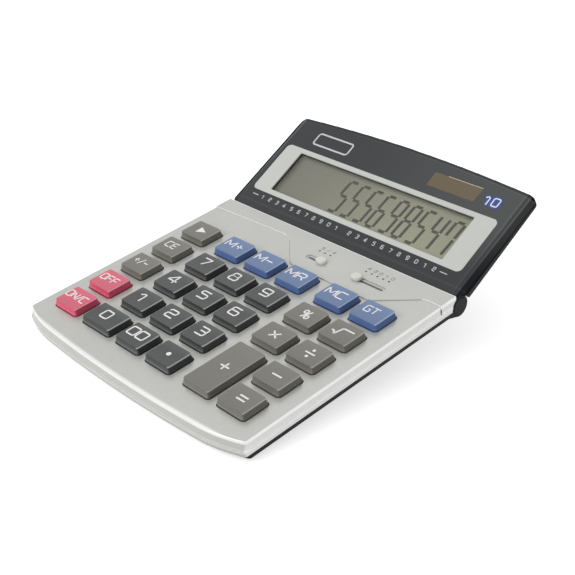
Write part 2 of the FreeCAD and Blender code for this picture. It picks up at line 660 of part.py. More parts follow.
def make_bay():
    """Battery bay below the floor: its bottom is level, with an opening for the sliding door."""
    below_floor = box((-FAR, FAR), (-FAR, FAR), (-FAR, -SHELL_DEPTH + FLOOR / 2))
    outer = slab(rectangle((-BAY_HALF, BAY_HALF), (BAY_FRONT, BAY_REAR), BAY_CORNER),
                 (BAY_BOTTOM, FAR))
    outer = outer.makeFillet(BOTTOM_EDGE, edges_at(outer, BAY_BOTTOM))
    inner = slab(rectangle((-BAY_HALF + BAY_WALL, BAY_HALF - BAY_WALL),
                           (BAY_FRONT + BAY_WALL, BAY_REAR - BAY_WALL), BAY_CORNER - BAY_WALL),
                 (BAY_BOTTOM + BAY_WALL, FAR))
    door_half = DOOR_HALF + DOOR_GAP
    tongue_half = door_half + DOOR_TONGUE
    door_room = box((-door_half, door_half), (DOOR_FRONT - DOOR_GAP, FAR),
                    (BAY_BOTTOM - OVERCUT, BAY_BOTTOM + BAY_WALL + OVERCUT))
    tongue_room = box((-tongue_half, tongue_half), (BAY_REAR - BAY_WALL - OVERCUT, FAR),
                      (BAY_BOTTOM + BAY_WALL, TONGUE_TOP))
    bay = outer.cut([inner, door_room, tongue_room])
    rise = (TONGUE_TOP + DOOR_GAP, FAR)
    end = CELL_HALF + CONTACT_THICKNESS + 2 * CONTACT_ROOM
    rest = CELL_RADIUS + CELL_GAP
    walls = both_sides(box((end, end + CRADLE_WALL), (CELL_Y - rest, CELL_Y + rest), rise))
    for y in (CELL_Y - rest - CRADLE_WALL, CELL_Y + rest):
        walls.append(box((-end - CRADLE_WALL, end + CRADLE_WALL), (y, y + CRADLE_WALL), rise))
    return [level_to_deck(shape).common(below_floor) for shape in (bay, union(walls))]


def arm_profile(top):
    """Side profile of an arm that carries an ear: (y, z) points up to a top height."""
    start = HINGE_Y - ARM_REACH
    drop = SHELL_DEPTH - HINGE_DEPTH
    distance = math.hypot(ARM_REACH, drop)
    bearing = math.atan2(drop, ARM_REACH) - math.asin(EAR_RADIUS / distance)
    reach = math.sqrt(distance ** 2 - EAR_RADIUS ** 2)
    touch = (start + reach * math.cos(bearing), -SHELL_DEPTH + reach * math.sin(bearing))
    ear_top = (HINGE_Y - EAR_RADIUS / 2, top)
    return [(start - ARM_ROOT, -SHELL_DEPTH), (start, -SHELL_DEPTH), touch, (HINGE_Y, -HINGE_DEPTH),
            ear_top, (start - ARM_ROOT, top)]


def make_bottom_shell():
    """Black lower shell: floor, walls and lip, hinge ears on arms, standoffs and battery bay."""
    rear = HINGE_Y - EAR_RADIUS
    outer = slab(body_outline(LOWER_HALF, LOWER_FRONT, rear), (-SHELL_DEPTH, -BAND_DEPTH))
    rim = [e for e in edges_at(outer, -SHELL_DEPTH) if e.BoundBox.YMin < COVER_LINE_Y]
    outer = outer.makeFillet(BOTTOM_EDGE, rim)
    lip_half, lip_front = CAVITY_HALF - FIT, CAVITY_FRONT + FIT
    hollow = slab(body_outline(lip_half - FIT, LOWER_FRONT + WALL, FAR), (FLOOR_TOP, OVERCUT))
    lip = slab(body_outline(lip_half, lip_front, COVER_LINE_Y), (FLOOR_TOP, -BAND_DEPTH + LIP_HEIGHT))
    lip = lip.cut(slab(body_outline(lip_half - LIP_WALL, lip_front + LIP_WALL, FAR), (FLOOR_TOP, OVERCUT)))
    shell = union([outer.cut(hollow), lip]).cut(hinge_room()[0])
    carriers = []
    for part in (profile(arm_profile(SEAT_BOTTOM - FIT), (EAR_INNER, lip_half)),
                 profile(arm_profile(-BAND_DEPTH), (EAR_INNER, EAR_OUTER - FIT)),
                 rod(EAR_RADIUS, (EAR_INNER, EAR_OUTER))):
        carriers += both_sides(part)
    standoffs = [post(STANDOFF_RADIUS, x, y, (FLOOR_TOP, BOARD_BOTTOM)) for x, y in standoff_places()]
    shell = union([shell, rear_wall((-SHELL_DEPTH, -BAND_DEPTH))] + carriers + make_bay() + standoffs)
    outward = EAR_OUTER + OVERCUT
    cuts = both_sides(rod(PIN_RADIUS + PIN_CLEARANCE, (BARREL_HALF, outward)))
    cuts += both_sides(rod(PIN_HEAD_RADIUS + PIN_CLEARANCE, (EAR_POCKET - PIN_HEAD, outward)))
    cuts += both_sides(rod(CAP_RADIUS + PIN_CLEARANCE, (EAR_POCKET, outward)))
    below = -SHELL_DEPTH - OVERCUT
    for x, y in screw_places():
        cuts.append(post(SCREW_RADIUS + SCREW_CLEARANCE, x, y, (below, FLOOR_TOP + OVERCUT)))
        cuts.append(post(SCREW_HEAD_RADIUS + HEAD_ROOM, x, y, (below, -SHELL_DEPTH + SCREW_RECESS)))
    for x in contact_tabs():
        half = TAB_WIDTH / 2 + CONTACT_ROOM
        cuts.append(box((x - CONTACT_ROOM, x + CONTACT_THICKNESS + CONTACT_ROOM),
                        (tab_y() - half, tab_y() + half), (below, FLOOR_TOP + OVERCUT)))
    return shell.cut(cuts + [ribbon_passage()])


def standoff_places():
    """Places where the main board rests on the floor."""
    x_right = (column_x(3) + column_x(4)) / 2
    x_left = (column_x(0) + column_x(1)) / 2
    return [(x, row_y(row)) for x in (x_left, x_right) for row in (0, 4)]


def make_main_board():
    """Main circuit board with holes round the screw bosses."""
    front = CAVITY_FRONT + BOARD_FRONT_GAP
    board = slab(rectangle((-BOARD_HALF, BOARD_HALF), (front, BOARD_REAR), BOARD_CORNER),
                 (BOARD_BOTTOM, BOARD_TOP))
    span = (BOARD_BOTTOM - OVERCUT, BOARD_TOP + OVERCUT)
    return board.cut([post(BOSS_RADIUS + BOSS_ROOM, x, y, span) for x, y in screw_places()])


def make_key_mat():
    """Silicone key mat: a thin sheet with an open collar under each key stem."""
    half = column_x(5) + MAT_MARGIN
    mat = slab(rectangle((-half, half), (row_y(0) - MAT_MARGIN, row_y(4) + MAT_MARGIN), KEY_CORNER),
               (BOARD_TOP, MAT_TOP))
    inner = STEM_RADIUS + STEM_ROOM
    collars = [post(inner + COLLAR_WALL, *key_place(*key)[:2], (BOARD_TOP, COLLAR_TOP)) for key in KEYS]
    span = (BOARD_TOP - OVERCUT, COLLAR_TOP + OVERCUT)
    holes = [post(inner, *key_place(*key)[:2], span) for key in KEYS]
    holes += [post(BOSS_RADIUS + BOSS_ROOM, x, y, span) for x, y in screw_places()]
    return union([mat] + collars).cut(holes)


def make_main_chip():
    """Processor package on the main board, behind the keys."""
    x = column_x(1)
    y = (KEY_REAR + BOARD_REAR) / 2
    half = CHIP_SIZE / 2
    return box((x - half, x + half), (y - half, y + half), (BOARD_TOP, BOARD_TOP + CHIP_HEIGHT))


def cross_cut(x, y, z, reach):
    """Cross recess for a screwdriver, as two boxes over the pair z."""
    half = CROSS_WIDTH / 2
    return [box((x - reach, x + reach), (y - half, y + half), z),
            box((x - half, x + half), (y - reach, y + reach), z)]


def make_shell_screws():
    """Six pan-head screws that hold the shells together from below."""
    seat = -SHELL_DEPTH + SCREW_RECESS
    low = seat - SCREW_HEAD
    screws = []
    for x, y in screw_places():
        screw = union([post(SCREW_HEAD_RADIUS, x, y, (low, seat)),
                       post(SCREW_RADIUS, x, y, (seat, -PLATE - SCREW_TIP))])
        cross = (low - OVERCUT, low + CROSS_DEPTH)
        screws.append(screw.cut(cross_cut(x, y, cross, 0.6 * SCREW_HEAD_RADIUS)))
    return Part.makeCompound(screws)


def make_feet():
    """Four rubber feet, all flat on the desk."""
    above = level_to_deck(box((-FAR, FAR), (-FAR, FAR), (GROUND, GROUND + FAR)))
    front = post(FOOT_RADIUS, BODY_HALF - FRONT_FOOT_INSET, FRONT_FOOT_Y,
                 (-SHELL_DEPTH - 2 * FRONT_FOOT_HEIGHT, -SHELL_DEPTH))
    rear = level_to_deck(post(FOOT_RADIUS, REAR_FOOT_X, BAY_REAR - REAR_FOOT_SETBACK, (GROUND, BAY_BOTTOM)))
    return Part.makeCompound(both_sides(front.common(above)) + both_sides(rear))


def make_battery_door():
    """Door in the bottom of the bay that slides out to the rear on two side tongues."""
    top = BAY_BOTTOM + BAY_WALL + DOOR_GAP / 2 + DOOR_TONGUE_THICKNESS
    plate = box((-DOOR_HALF, DOOR_HALF), (DOOR_FRONT, BAY_REAR), (BAY_BOTTOM, top))
    tongue_half = DOOR_HALF + DOOR_TONGUE
    tongue = box((-tongue_half, tongue_half), (DOOR_FRONT, BAY_REAR), (top - DOOR_TONGUE_THICKNESS, top))
    grips = [rod(GRIP_RADIUS, (-DOOR_HALF / 3, DOOR_HALF / 3), BAY_REAR - GRIP_SETBACK - i * GRIP_PITCH,
                 BAY_BOTTOM - GRIP_RADIUS / 3) for i in range(4)]
    return level_to_deck(union([plate, tongue]).cut(grips))


def make_battery():
    """Small cylindrical cell with its raised positive end."""
    can = rod(CELL_RADIUS, (-CELL_HALF, -CELL_HALF + CELL_LENGTH), CELL_Y, CELL_Z)
    can = can.makeFillet(CONTACT_THICKNESS, [e for e in can.Edges if e.Closed])
    nipple = rod(NIPPLE_RADIUS, (CELL_HALF - 2 * NIPPLE_LENGTH, CELL_HALF), CELL_Y, CELL_Z)
    return level_to_deck(union([can, nipple]))


def contact_tabs():
    """Left faces of the two contact tabs that rise through the floor."""
    return (-CELL_HALF - CONTACT_THICKNESS - CONTACT_ROOM, CELL_HALF + CONTACT_ROOM)


def tab_y():
    """Place of the contact tabs along the deck."""
    return CELL_Y * COSINE + CELL_Z * SINE


def make_battery_contacts():
    """Two leaf contacts at the ends of the cell, with tabs up to the main board."""
    top = -SHELL_DEPTH - LEAF_DROP
    leaves = []
    for x in contact_tabs():
        thick = (x, x + CONTACT_THICKNESS)
        leaf = box(thick, (tab_y() - CONTACT_WIDTH / 2, tab_y() + CONTACT_WIDTH / 2),
                   (top - LEAF_HEIGHT, top))
        tab = box(thick, (tab_y() - TAB_WIDTH / 2, tab_y() + TAB_WIDTH / 2),
                  (top - LEAF_HEIGHT / 2, BOARD_BOTTOM))
        leaves.append(union([leaf, tab]))
    return Part.makeCompound(leaves)


def make_hinge_pins():
    """Two headed stub pins, one from each ear into the barrel."""
    head = EAR_POCKET - PIN_HEAD
    pin = union([rod(PIN_RADIUS, (BARREL_HALF - BARREL_END, head)),
                 rod(PIN_HEAD_RADIUS, (head, EAR_POCKET - FIT))])
    return Part.makeCompound(both_sides(pin))


def make_hinge_caps():
    """Round caps that cover the pins in the ears' outer faces."""
    cap = rod(CAP_RADIUS, (EAR_POCKET, EAR_OUTER + CAP_PROUD))
    cap = cap.makeFillet(0.8 * CAP_PROUD, [e for e in cap.Edges if e.Closed and e.BoundBox.XMin > EAR_OUTER])
    return Part.makeCompound(both_sides(cap))


def make_hinge_washers():
    """Friction washers between the ears and the barrel's ends."""
    span = (BARREL_HALF + WASHER_CLEARANCE, EAR_INNER - WASHER_CLEARANCE)
    washer = rod(EAR_RADIUS - FIT, span).cut(rod(PIN_RADIUS + 2 * PIN_CLEARANCE, span))
    return Part.makeCompound(both_sides(washer))


def back_height(y):
    """Height of the display's back at y: the housing thins towards its top."""
    return (DISPLAY_FACE - DISPLAY_TOP_THICKNESS) * y / DISPLAY_TOP


def display_solid():
    """Outer form of the display housing with its barrel, before it is hollowed and split."""
    facet = DISPLAY_BOTTOM + FACET_HEIGHT
    side = profile([(DISPLAY_BOTTOM, DISPLAY_FACE - FACET_DROP), (facet, DISPLAY_FACE),
                    (DISPLAY_TOP, DISPLAY_FACE), (DISPLAY_TOP, back_height(DISPLAY_TOP)),
                    (DISPLAY_BOTTOM, back_height(DISPLAY_BOTTOM))], (-FAR, FAR))
    plan = slab(display_outline(), (-OVERCUT, DISPLAY_FACE + OVERCUT))
    housing = plan.common(side)
    housing = housing.makeFillet(DISPLAY_EDGE, rim_edges(housing, plan)).cut(both_sides(side_bevel()))
    barrel = rod(BARREL_RADIUS, (-BARREL_HALF, BARREL_HALF), 0, 0)
    housing = union([housing, barrel])
    return housing.cut(both_sides(rod(EAR_RADIUS + EAR_GAP, (BARREL_HALF, FAR), 0, 0)))


def side_bevel():
    """Wedge that takes the bevel off the right edge of the display's face, wider towards the top."""
    slope = SIDE_BEVEL_DROP / SIDE_BEVEL
    inner, outer = -SIDE_BEVEL - OVERCUT, SIDE_BEVEL_TAPER + OVERCUT
    path = [V(DISPLAY_HALF + x, -OVERCUT, DISPLAY_FACE + z)
            for x, z in ((inner, OVERCUT * slope), (outer, -(SIDE_BEVEL + outer) * slope), (outer, OVERCUT))]
    run = V(-SIDE_BEVEL_TAPER, DISPLAY_TOP + 2 * OVERCUT, 0)
    return Part.Face(Part.makePolygon(path + path[:1])).extrude(run)


def rim_edges(housing, plan):
    """Edges of the housing's front and back along the walls of its plan, except at the bottom."""
    walls = [face for face in plan.Faces if abs(face.normalAt(0, 0).z) < 0.5]
    rim = []
    for edge in housing.Edges:
        middle = edge.valueAt((edge.FirstParameter + edge.LastParameter) / 2)
        level = edge.BoundBox.ZLength < DISPLAY_SPLIT and middle.y > DISPLAY_BOTTOM + FIT
        if level and any(wall.distToShape(Part.Vertex(middle))[0] < 1e-4 for wall in walls):
            rim.append(edge)
    return rim


def display_hollow():
    """Inner space of the display housing and its barrel."""
    low = DISPLAY_BOTTOM + DISPLAY_WALL
    side = profile([(low, FACE_INNER - FACET_DROP), (DISPLAY_BOTTOM + FACET_HEIGHT, FACE_INNER),
                    (DISPLAY_TOP, FACE_INNER), (DISPLAY_TOP, back_height(DISPLAY_TOP) + BACK_WALL),
                    (low, back_height(low) + BACK_WALL)], (-FAR, FAR))
    plan = slab(display_outline(DISPLAY_WALL, DISPLAY_SIDE_WALL, low), (-OVERCUT, DISPLAY_FACE + OVERCUT))
    inner = BARREL_HALF - BARREL_END
    ear_wall = both_sides(rod(EAR_RADIUS + EAR_GAP + BACK_WALL, (inner, FAR), 0, 0))
    return union([plan.common(side).cut(ear_wall), rod(BARREL_BORE, (-inner, inner), 0, 0)])


def ribbon_slot():
    """Slot in the barrel that lets the ribbon through over the whole tilt."""
    half = RIBBON_WIDTH / 2 + RIBBON_ROOM
    high = RIBBON_THICKNESS + RIBBON_ROOM
    reach = BARREL_RADIUS + OVERCUT
    swing = math.radians(DISPLAY_TILT)
    fan = [(0, -high), (-reach, -high), (-reach * math.cos(swing), reach * math.sin(swing) + high),
           (0, high)]
    return profile(fan, (RIBBON_X - half, RIBBON_X + half))


def display_screw_places():
    """Four screws in the display housing's margins."""
    x = DISPLAY_HALF - DISPLAY_SCREW_INSET
    return [(side * x, y) for side in (-1, 1) for y in (BEZEL_Y[0], SOLAR_Y[0])]


def window(x, y, margin, radius, z):
    """Rounded block between the pairs x and y, grown by a margin on every side."""
    return slab(rectangle((x[0] - margin, x[1] + margin), (y[0] - margin, y[1] + margin), radius), z)


def lcd_block(margin, z, radius=WINDOW_CORNER):
    """Block on the liquid crystal's window."""
    return window(WINDOW_X, WINDOW_Y, margin, radius, z)


def solar_block(margin, z):
    """Block on the solar cell's window."""
    return window(SOLAR_X, SOLAR_Y, margin, WINDOW_CORNER, z)


def bezel_block(margin, z):
    """Block on the bezel plate's outline."""
    return window(BEZEL_X, BEZEL_Y, margin, BEZEL_CORNER, z)


def make_display_front():
    """Front half of the display housing, with its windows and the seats behind them."""
    front = display_solid().cut(display_hollow())
    front = front.common(box((-FAR, FAR), (-FAR, FAR), (DISPLAY_SPLIT, FAR)))
    front = front.cut([bezel_block(FIT / 2, (BEZEL_SEAT, FAR)), lcd_block(0, (0, FAR)),
                       lcd_block(LENS_MARGIN + FIT / 2, (LENS_SEAT, FAR)),
                       solar_block(FIT / 2, (DISPLAY_FACE - SOLAR_LENS, FAR)),
                       solar_block(-SOLAR_LEDGE, (0, FAR))])
    bosses = []
    for x, y in display_screw_places():
        low = back_height(y) + BACK_WALL
        boss = post(DISPLAY_BOSS_RADIUS, x, y, (low, FACE_INNER))
        bosses.append(boss.cut(post(DISPLAY_SCREW_RADIUS + SCREW_CLEARANCE, x, y, (low, FACE_INNER))))
    return union([front] + bosses)


def make_display_back():
    """Back half of the display housing with the hinge barrel."""
    back = display_solid().cut(display_hollow())
    back = back.common(box((-FAR, FAR), (-FAR, FAR), (-FAR, DISPLAY_SPLIT)))
    cuts = [ribbon_slot()] + both_sides(rod(PIN_RADIUS + PIN_CLEARANCE, (0, FAR), 0, 0))
    for x, y in display_screw_places():
        low = back_height(y)
        cuts.append(post(DISPLAY_SCREW_RADIUS + SCREW_CLEARANCE, x, y, (-OVERCUT, DISPLAY_SPLIT)))
        cuts.append(post(DISPLAY_SCREW_HEAD_RADIUS + HEAD_ROOM, x, y, (-OVERCUT, low + DISPLAY_SCREW_HEAD)))
        cuts.append(post(DISPLAY_BOSS_RADIUS + HEAD_ROOM, x, y, (low + BACK_WALL, DISPLAY_SPLIT + OVERCUT)))
    return back.cut(cuts)


def make_display_screws():
    """Four small screws in the back of the display housing."""
    screws = []
    for x, y in display_screw_places():
        low = back_height(y)
        seat = low + DISPLAY_SCREW_HEAD
        screw = union([post(DISPLAY_SCREW_HEAD_RADIUS, x, y, (low, seat)),
                       post(DISPLAY_SCREW_RADIUS, x, y, (seat, FACE_INNER - SCREW_CLEARANCE))])
        cross = (low - OVERCUT, low + DISPLAY_CROSS_DEPTH)
        screws.append(screw.cut(cross_cut(x, y, cross, 0.6 * DISPLAY_SCREW_HEAD_RADIUS)))
    return Part.makeCompound(screws)


def make_bezel_plate():
    """Pale frame plate round the liquid crystal's window."""
    return bezel_block(0, (BEZEL_SEAT, DISPLAY_FACE)).cut(lcd_block(0, (0, FAR)))


def make_lcd_window():
    """Clear lens under the bezel plate."""
    return lcd_block(LENS_MARGIN, (LENS_SEAT, BEZEL_SEAT))


def make_lcd_glass():
    """Liquid crystal glass behind the front wall."""
    return lcd_block(GLASS_MARGIN, (GLASS_BOTTOM, FACE_INNER), GLASS_CORNER)


def make_lcd_reflector():
    """Reflector sheet on the back of the glass, above the connector strip."""
    sheet = lcd_block(GLASS_MARGIN / 2, (REFLECTOR_BOTTOM, GLASS_BOTTOM), GLASS_CORNER)
    return sheet.common(box((-FAR, FAR), (GLASS_Y + CONNECTOR_WIDTH + FIT, FAR), (0, FAR)))


def make_lcd_connector():
    """Rubber connector strip between the glass and the display board."""
    return box((WINDOW_X[0] + CONNECTOR_INSET, WINDOW_X[1] - CONNECTOR_INSET),
               (GLASS_Y, GLASS_Y + CONNECTOR_WIDTH), (DISPLAY_BOARD_TOP, GLASS_BOTTOM))


def make_display_board():
    """Driver board behind the lower edge of the liquid crystal."""
    return box(WINDOW_X, (DISPLAY_BOARD_LOW, DISPLAY_BOARD_LOW + DISPLAY_BOARD_HEIGHT),
               (DISPLAY_BOARD_TOP - DISPLAY_BOARD_THICKNESS, DISPLAY_BOARD_TOP))


def make_solar_window():
    """Tinted lens over the solar cell."""
    return solar_block(0, (DISPLAY_FACE - SOLAR_LENS, DISPLAY_FACE))


def make_solar_cell():
    """Solar cell behind its opening in the front wall."""
    return solar_block(SOLAR_LEDGE, (FACE_INNER - SOLAR_CELL_THICKNESS, FACE_INNER))


def make_ribbon_body():
    """Ribbon cable from the main board through the rear wall to the hinge axis."""
    bend = BOARD_REAR + RIBBON_THICKNESS
    wall = HINGE_Y - ROOM_RADIUS - WALL
    points = [(SLIDER_Y, BOARD_TOP), (bend, BOARD_TOP), (wall + FIT, -HINGE_DEPTH),
              (HINGE_Y - RIBBON_SPLIT, -HINGE_DEPTH)]
    return strip(points, RIBBON_THICKNESS, (RIBBON_X - RIBBON_WIDTH / 2, RIBBON_X + RIBBON_WIDTH / 2))


def make_ribbon_display():
    """Ribbon cable from the hinge axis up to the display board."""
    end = DISPLAY_BOARD_LOW + CONNECTOR_INSET
    points = [(RIBBON_SPLIT, 0), (0.55 * BARREL_BORE, 0.6 * DISPLAY_BOARD_TOP),
              (1.2 * BARREL_BORE, DISPLAY_BOARD_TOP), (end, DISPLAY_BOARD_TOP)]
    return strip(points, RIBBON_THICKNESS, (RIBBON_X - RIBBON_WIDTH / 2, RIBBON_X + RIBBON_WIDTH / 2))


def main():
    """Build every piece, stand the model on its feet and write one file for each."""
    os.makedirs("parts", exist_ok=True)
    nodes = {"key_" + key[0]: make_key(key) for key in KEYS}
    nodes.update({
        "top_shell": make_top_shell(), "rear_cover": make_rear_cover(), "bottom_shell": make_bottom_shell(),
        "slider_rounding": make_slider(ROUNDING_X + ROUNDING_STEPS * SLIDER_PITCH / 2),
        "slider_decimal": make_slider(DECIMAL_X - DECIMAL_STEPS * SLIDER_PITCH / 2),
        "switch_bases": make_switch_bases(), "main_board": make_main_board(), "key_mat": make_key_mat(),
        "main_chip": make_main_chip(), "shell_screws": make_shell_screws(), "rubber_feet": make_feet(),
        "battery_door": make_battery_door(), "battery": make_battery(),
        "battery_contacts": make_battery_contacts(), "hinge_pins": make_hinge_pins(),
        "hinge_caps": make_hinge_caps(), "hinge_washers": make_hinge_washers(),
        "ribbon_body": make_ribbon_body(),
    })
    display = {
        "display_front": make_display_front(), "display_back": make_display_back(),
        "display_screws": make_display_screws(), "bezel_plate": make_bezel_plate(),
        "lcd_window": make_lcd_window(), "lcd_glass": make_lcd_glass(), "lcd_reflector": make_lcd_reflector(),
        "lcd_connector": make_lcd_connector(), "display_board": make_display_board(),
        "solar_window": make_solar_window(), "solar_cell": make_solar_cell(),
        "ribbon_display": make_ribbon_display(),
    }
    nodes.update({name: display_to_deck(shape) for name, shape in display.items()})
    tilt = math.radians(SLOPE + DISPLAY_TILT)
    front = BAND_FRONT * COSINE + STEP_DEPTH * SINE
    hinge = HINGE_Y * COSINE + HINGE_DEPTH * SINE
    top_edge = (DISPLAY_TOP - DISPLAY_EDGE, back_height(DISPLAY_TOP) + DISPLAY_EDGE)
    rear = hinge + top_edge[0] * math.cos(tilt) - top_edge[1] * math.sin(tilt) + DISPLAY_EDGE
    middle = (front + rear) / 2
    for name, shape in nodes.items():
        shape.rotate(ZERO, X_AXIS, SLOPE)
        shape.translate(V(0, -middle, -GROUND))
        shape.exportStep("parts/" + name + ".step")
    print("hinge axis at y", round(hinge - middle, 3), "z",
          round(HINGE_Y * SINE - HINGE_DEPTH * COSINE - GROUND, 3))


main()
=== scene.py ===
"""Looks of a desk calculator with a tilting display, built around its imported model.

Metres in the row frame. Two flat frames lie along the real faces: the deck frame on the sloping keypad and the
display frame on the tilted display, both with their origin on the hinge axis. Sizes in the classes are millimetres
in the flat frame of their piece, unless they say otherwise.
"""

import json
import logging
import math
from dataclasses import dataclass, field, replace
from enum import Enum

import bmesh
import bpy
import numpy as np
from mathutils import Euler, Matrix, Vector


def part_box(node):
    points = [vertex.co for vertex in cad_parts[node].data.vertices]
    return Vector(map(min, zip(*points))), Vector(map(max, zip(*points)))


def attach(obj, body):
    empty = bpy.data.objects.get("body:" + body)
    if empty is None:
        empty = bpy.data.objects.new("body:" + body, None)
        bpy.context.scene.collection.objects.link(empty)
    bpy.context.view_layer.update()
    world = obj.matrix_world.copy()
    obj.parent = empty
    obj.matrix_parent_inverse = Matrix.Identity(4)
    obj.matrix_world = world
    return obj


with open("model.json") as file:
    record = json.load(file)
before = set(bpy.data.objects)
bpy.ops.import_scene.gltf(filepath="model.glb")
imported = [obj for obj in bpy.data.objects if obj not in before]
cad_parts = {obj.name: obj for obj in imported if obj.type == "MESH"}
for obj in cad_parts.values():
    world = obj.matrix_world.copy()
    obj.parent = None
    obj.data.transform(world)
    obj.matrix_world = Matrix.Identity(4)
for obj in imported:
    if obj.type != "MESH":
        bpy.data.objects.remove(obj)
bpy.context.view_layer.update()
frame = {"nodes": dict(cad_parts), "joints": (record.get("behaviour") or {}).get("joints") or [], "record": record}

MM = 0.001
SIDEWAYS = Vector((1.0, 0.0, 0.0))
FORWARD = Vector((0.0, -1.0, 0.0))
UPWARD = Vector((0.0, 0.0, 1.0))
log = logging.getLogger("calculator")

Tree = bpy.types.NodeTree
Node = bpy.types.Node
Socket = bpy.types.NodeSocket
Mesh = bpy.types.Mesh
Colour = tuple[float, float, float, float]
Point = tuple[float, float]
# Where a change starts and where it is full: millimetres, or cosines for a turn.
Span = tuple[float, float]
Stroke = tuple[list[Point], bool]


class Shell(Enum):
    """Bodies that carry the printed pieces, apart from the keys."""

    BASE = "root"
    DISPLAY = "display"


def linear(colour: str) -> Colour:
    """Turn an sRGB hex colour into linear light.

    Args:
        colour: Six hex digits with a leading hash.

    Returns:
        Red, green, blue and an alpha of 1.
    """
    parts = [int(colour[i:i + 2], 16) / 255 for i in (1, 3, 5)]
    light = [p / 12.92 if p <= 0.04045 else ((p + 0.055) / 1.055) ** 2.4 for p in parts]
    return (*light, 1.0)


def shaded(colour: str, share: float) -> Colour:
    """Make a colour lighter or darker by a share of its light.

    Args:
        colour: The sRGB hex colour.
        share: Positive for lighter, negative for darker.

    Returns:
        The linear colour.
    """
    return (*[min(1.0, c * (1 + share)) for c in linear(colour)[:3]], 1.0)


def feed(node: Node, inputs: dict) -> Node:
    """Give a node's inputs their values or links.

    Args:
        node: The node.
        inputs: Values, sockets or signals by the input's name or index.

    Returns:
        The same node.
    """
    for key, value in inputs.items():
        value = getattr(value, "socket", value)
        if isinstance(value, Socket):
            node.id_data.links.new(value, node.inputs[key])
        else:
            node.inputs[key].default_value = value
    return node


def add_node(tree: Tree, kind: str, settings: dict | None = None, inputs: dict | None = None) -> Node:
    """Add a node with its settings and links.

    Args:
        tree: The tree that gets the node.
        kind: The node's type name.
        settings: Properties of the node.
        inputs: Values, sockets or signals by the input's name or index.

    Returns:
        The new node.
    """
    node = tree.nodes.new(kind)
    for key, value in (settings or {}).items():
        setattr(node, key, value)
    return feed(node, inputs or {})


@dataclass(frozen=True)
class Signal:
    """A value or colour that varies over a surface, with the sums that shape it."""

    socket: Socket

    def sum(self, operation: str, *others: "Signal | float") -> "Signal":
        """Take one sum on this value and others, in their order."""
        values = dict(enumerate((self, *others)))
        return Signal(add_node(self.socket.id_data, "ShaderNodeMath", {"operation": operation}, values).outputs[0])

    def __add__(self, other: "Signal | float") -> "Signal":
        """Add a value."""
        return self.sum("ADD", other)

    def __sub__(self, other: "Signal | float") -> "Signal":
        """Take away a value."""
        return self.sum("SUBTRACT", other)

    def __rsub__(self, other: float) -> "Signal":
        """Take this value away from a number."""
        return self.sum("MULTIPLY_ADD", -1.0, other)

    def __mul__(self, other: "Signal | float") -> "Signal":
        """Multiply by a value."""
        return self.sum("MULTIPLY", other)

    def __truediv__(self, other: float) -> "Signal":
        """Divide by a number."""
        return self.sum("DIVIDE", other)

    def __or__(self, other: "Signal | float") -> "Signal":
        """Take the greater of two shares."""
        return self.sum("MAXIMUM", other)

    def __abs__(self) -> "Signal":
        """Drop the sign."""
        return self.sum("ABSOLUTE")

    def spread(self, low: float, high: float, start: float = 0.3, end: float = 0.7) -> "Signal":
        """Map a range of this value, which is a pattern's middle range if none is given, onto another.

        Args:
            low: Result at start, and before it.
            high: Result at end, and beyond it.
            start: Value that gives low.
            end: Value that gives high.

        Returns:
            The mapped value.
        """
        node = add_node(self.socket.id_data, "ShaderNodeMapRange", None,
                        {"Value": self, "From Min": start, "From Max": end, "To Min": low, "To Max": high})
        return Signal(node.outputs["Result"])

    def rise(self, start: float, end: float) -> "Signal":
        """Rise smoothly from 0 to 1 as a place in metres goes from start to end.

        Args:
            start: Where it starts, in millimetres.
            end: Where it is full, in millimetres.

        Returns:
            The share.
        """
        node = add_node(self.socket.id_data, "ShaderNodeMapRange", {"interpolation_type": "SMOOTHSTEP"},
                        {"Value": self, "From Min": start * MM, "From Max": end * MM})
        return Signal(node.outputs["Result"])

    def blend(self, under: "Signal | Colour", over: "Signal | Colour") -> "Signal":
        """Go from one colour to another as this share goes from 0 to 1.

        Args:
            under: The colour at 0.
            over: The colour at 1.

        Returns:
            The colour.
        """
        node = add_node(self.socket.id_data, "ShaderNodeMix", {"data_type": "RGBA"}, {0: self, 6: under, 7: over})
        return Signal(node.outputs[2])

    def tones(self, colour: str, darker: float, lighter: float) -> "Signal":
        """Vary a colour with this pattern, from a darker to a lighter tone."""
        return self.spread(0.0, 1.0).blend(shaded(colour, -darker), shaded(colour, lighter))

    def relief(self, depth: float, strength: float = 1.0, under: "Signal | None" = None) -> "Signal":
        """Raise this pattern by a real depth.

        Args:
            depth: Its depth, in millimetres.
            strength: Share of the relief that is used.
            under: Normal of a relief below this one.

        Returns:
            The normal.
        """
        inputs = {"Height": self, "Distance": depth * MM, "Strength": strength}
        if under:
            inputs["Normal"] = under
        return Signal(add_node(self.socket.id_data, "ShaderNodeBump", None, inputs).outputs["Normal"])


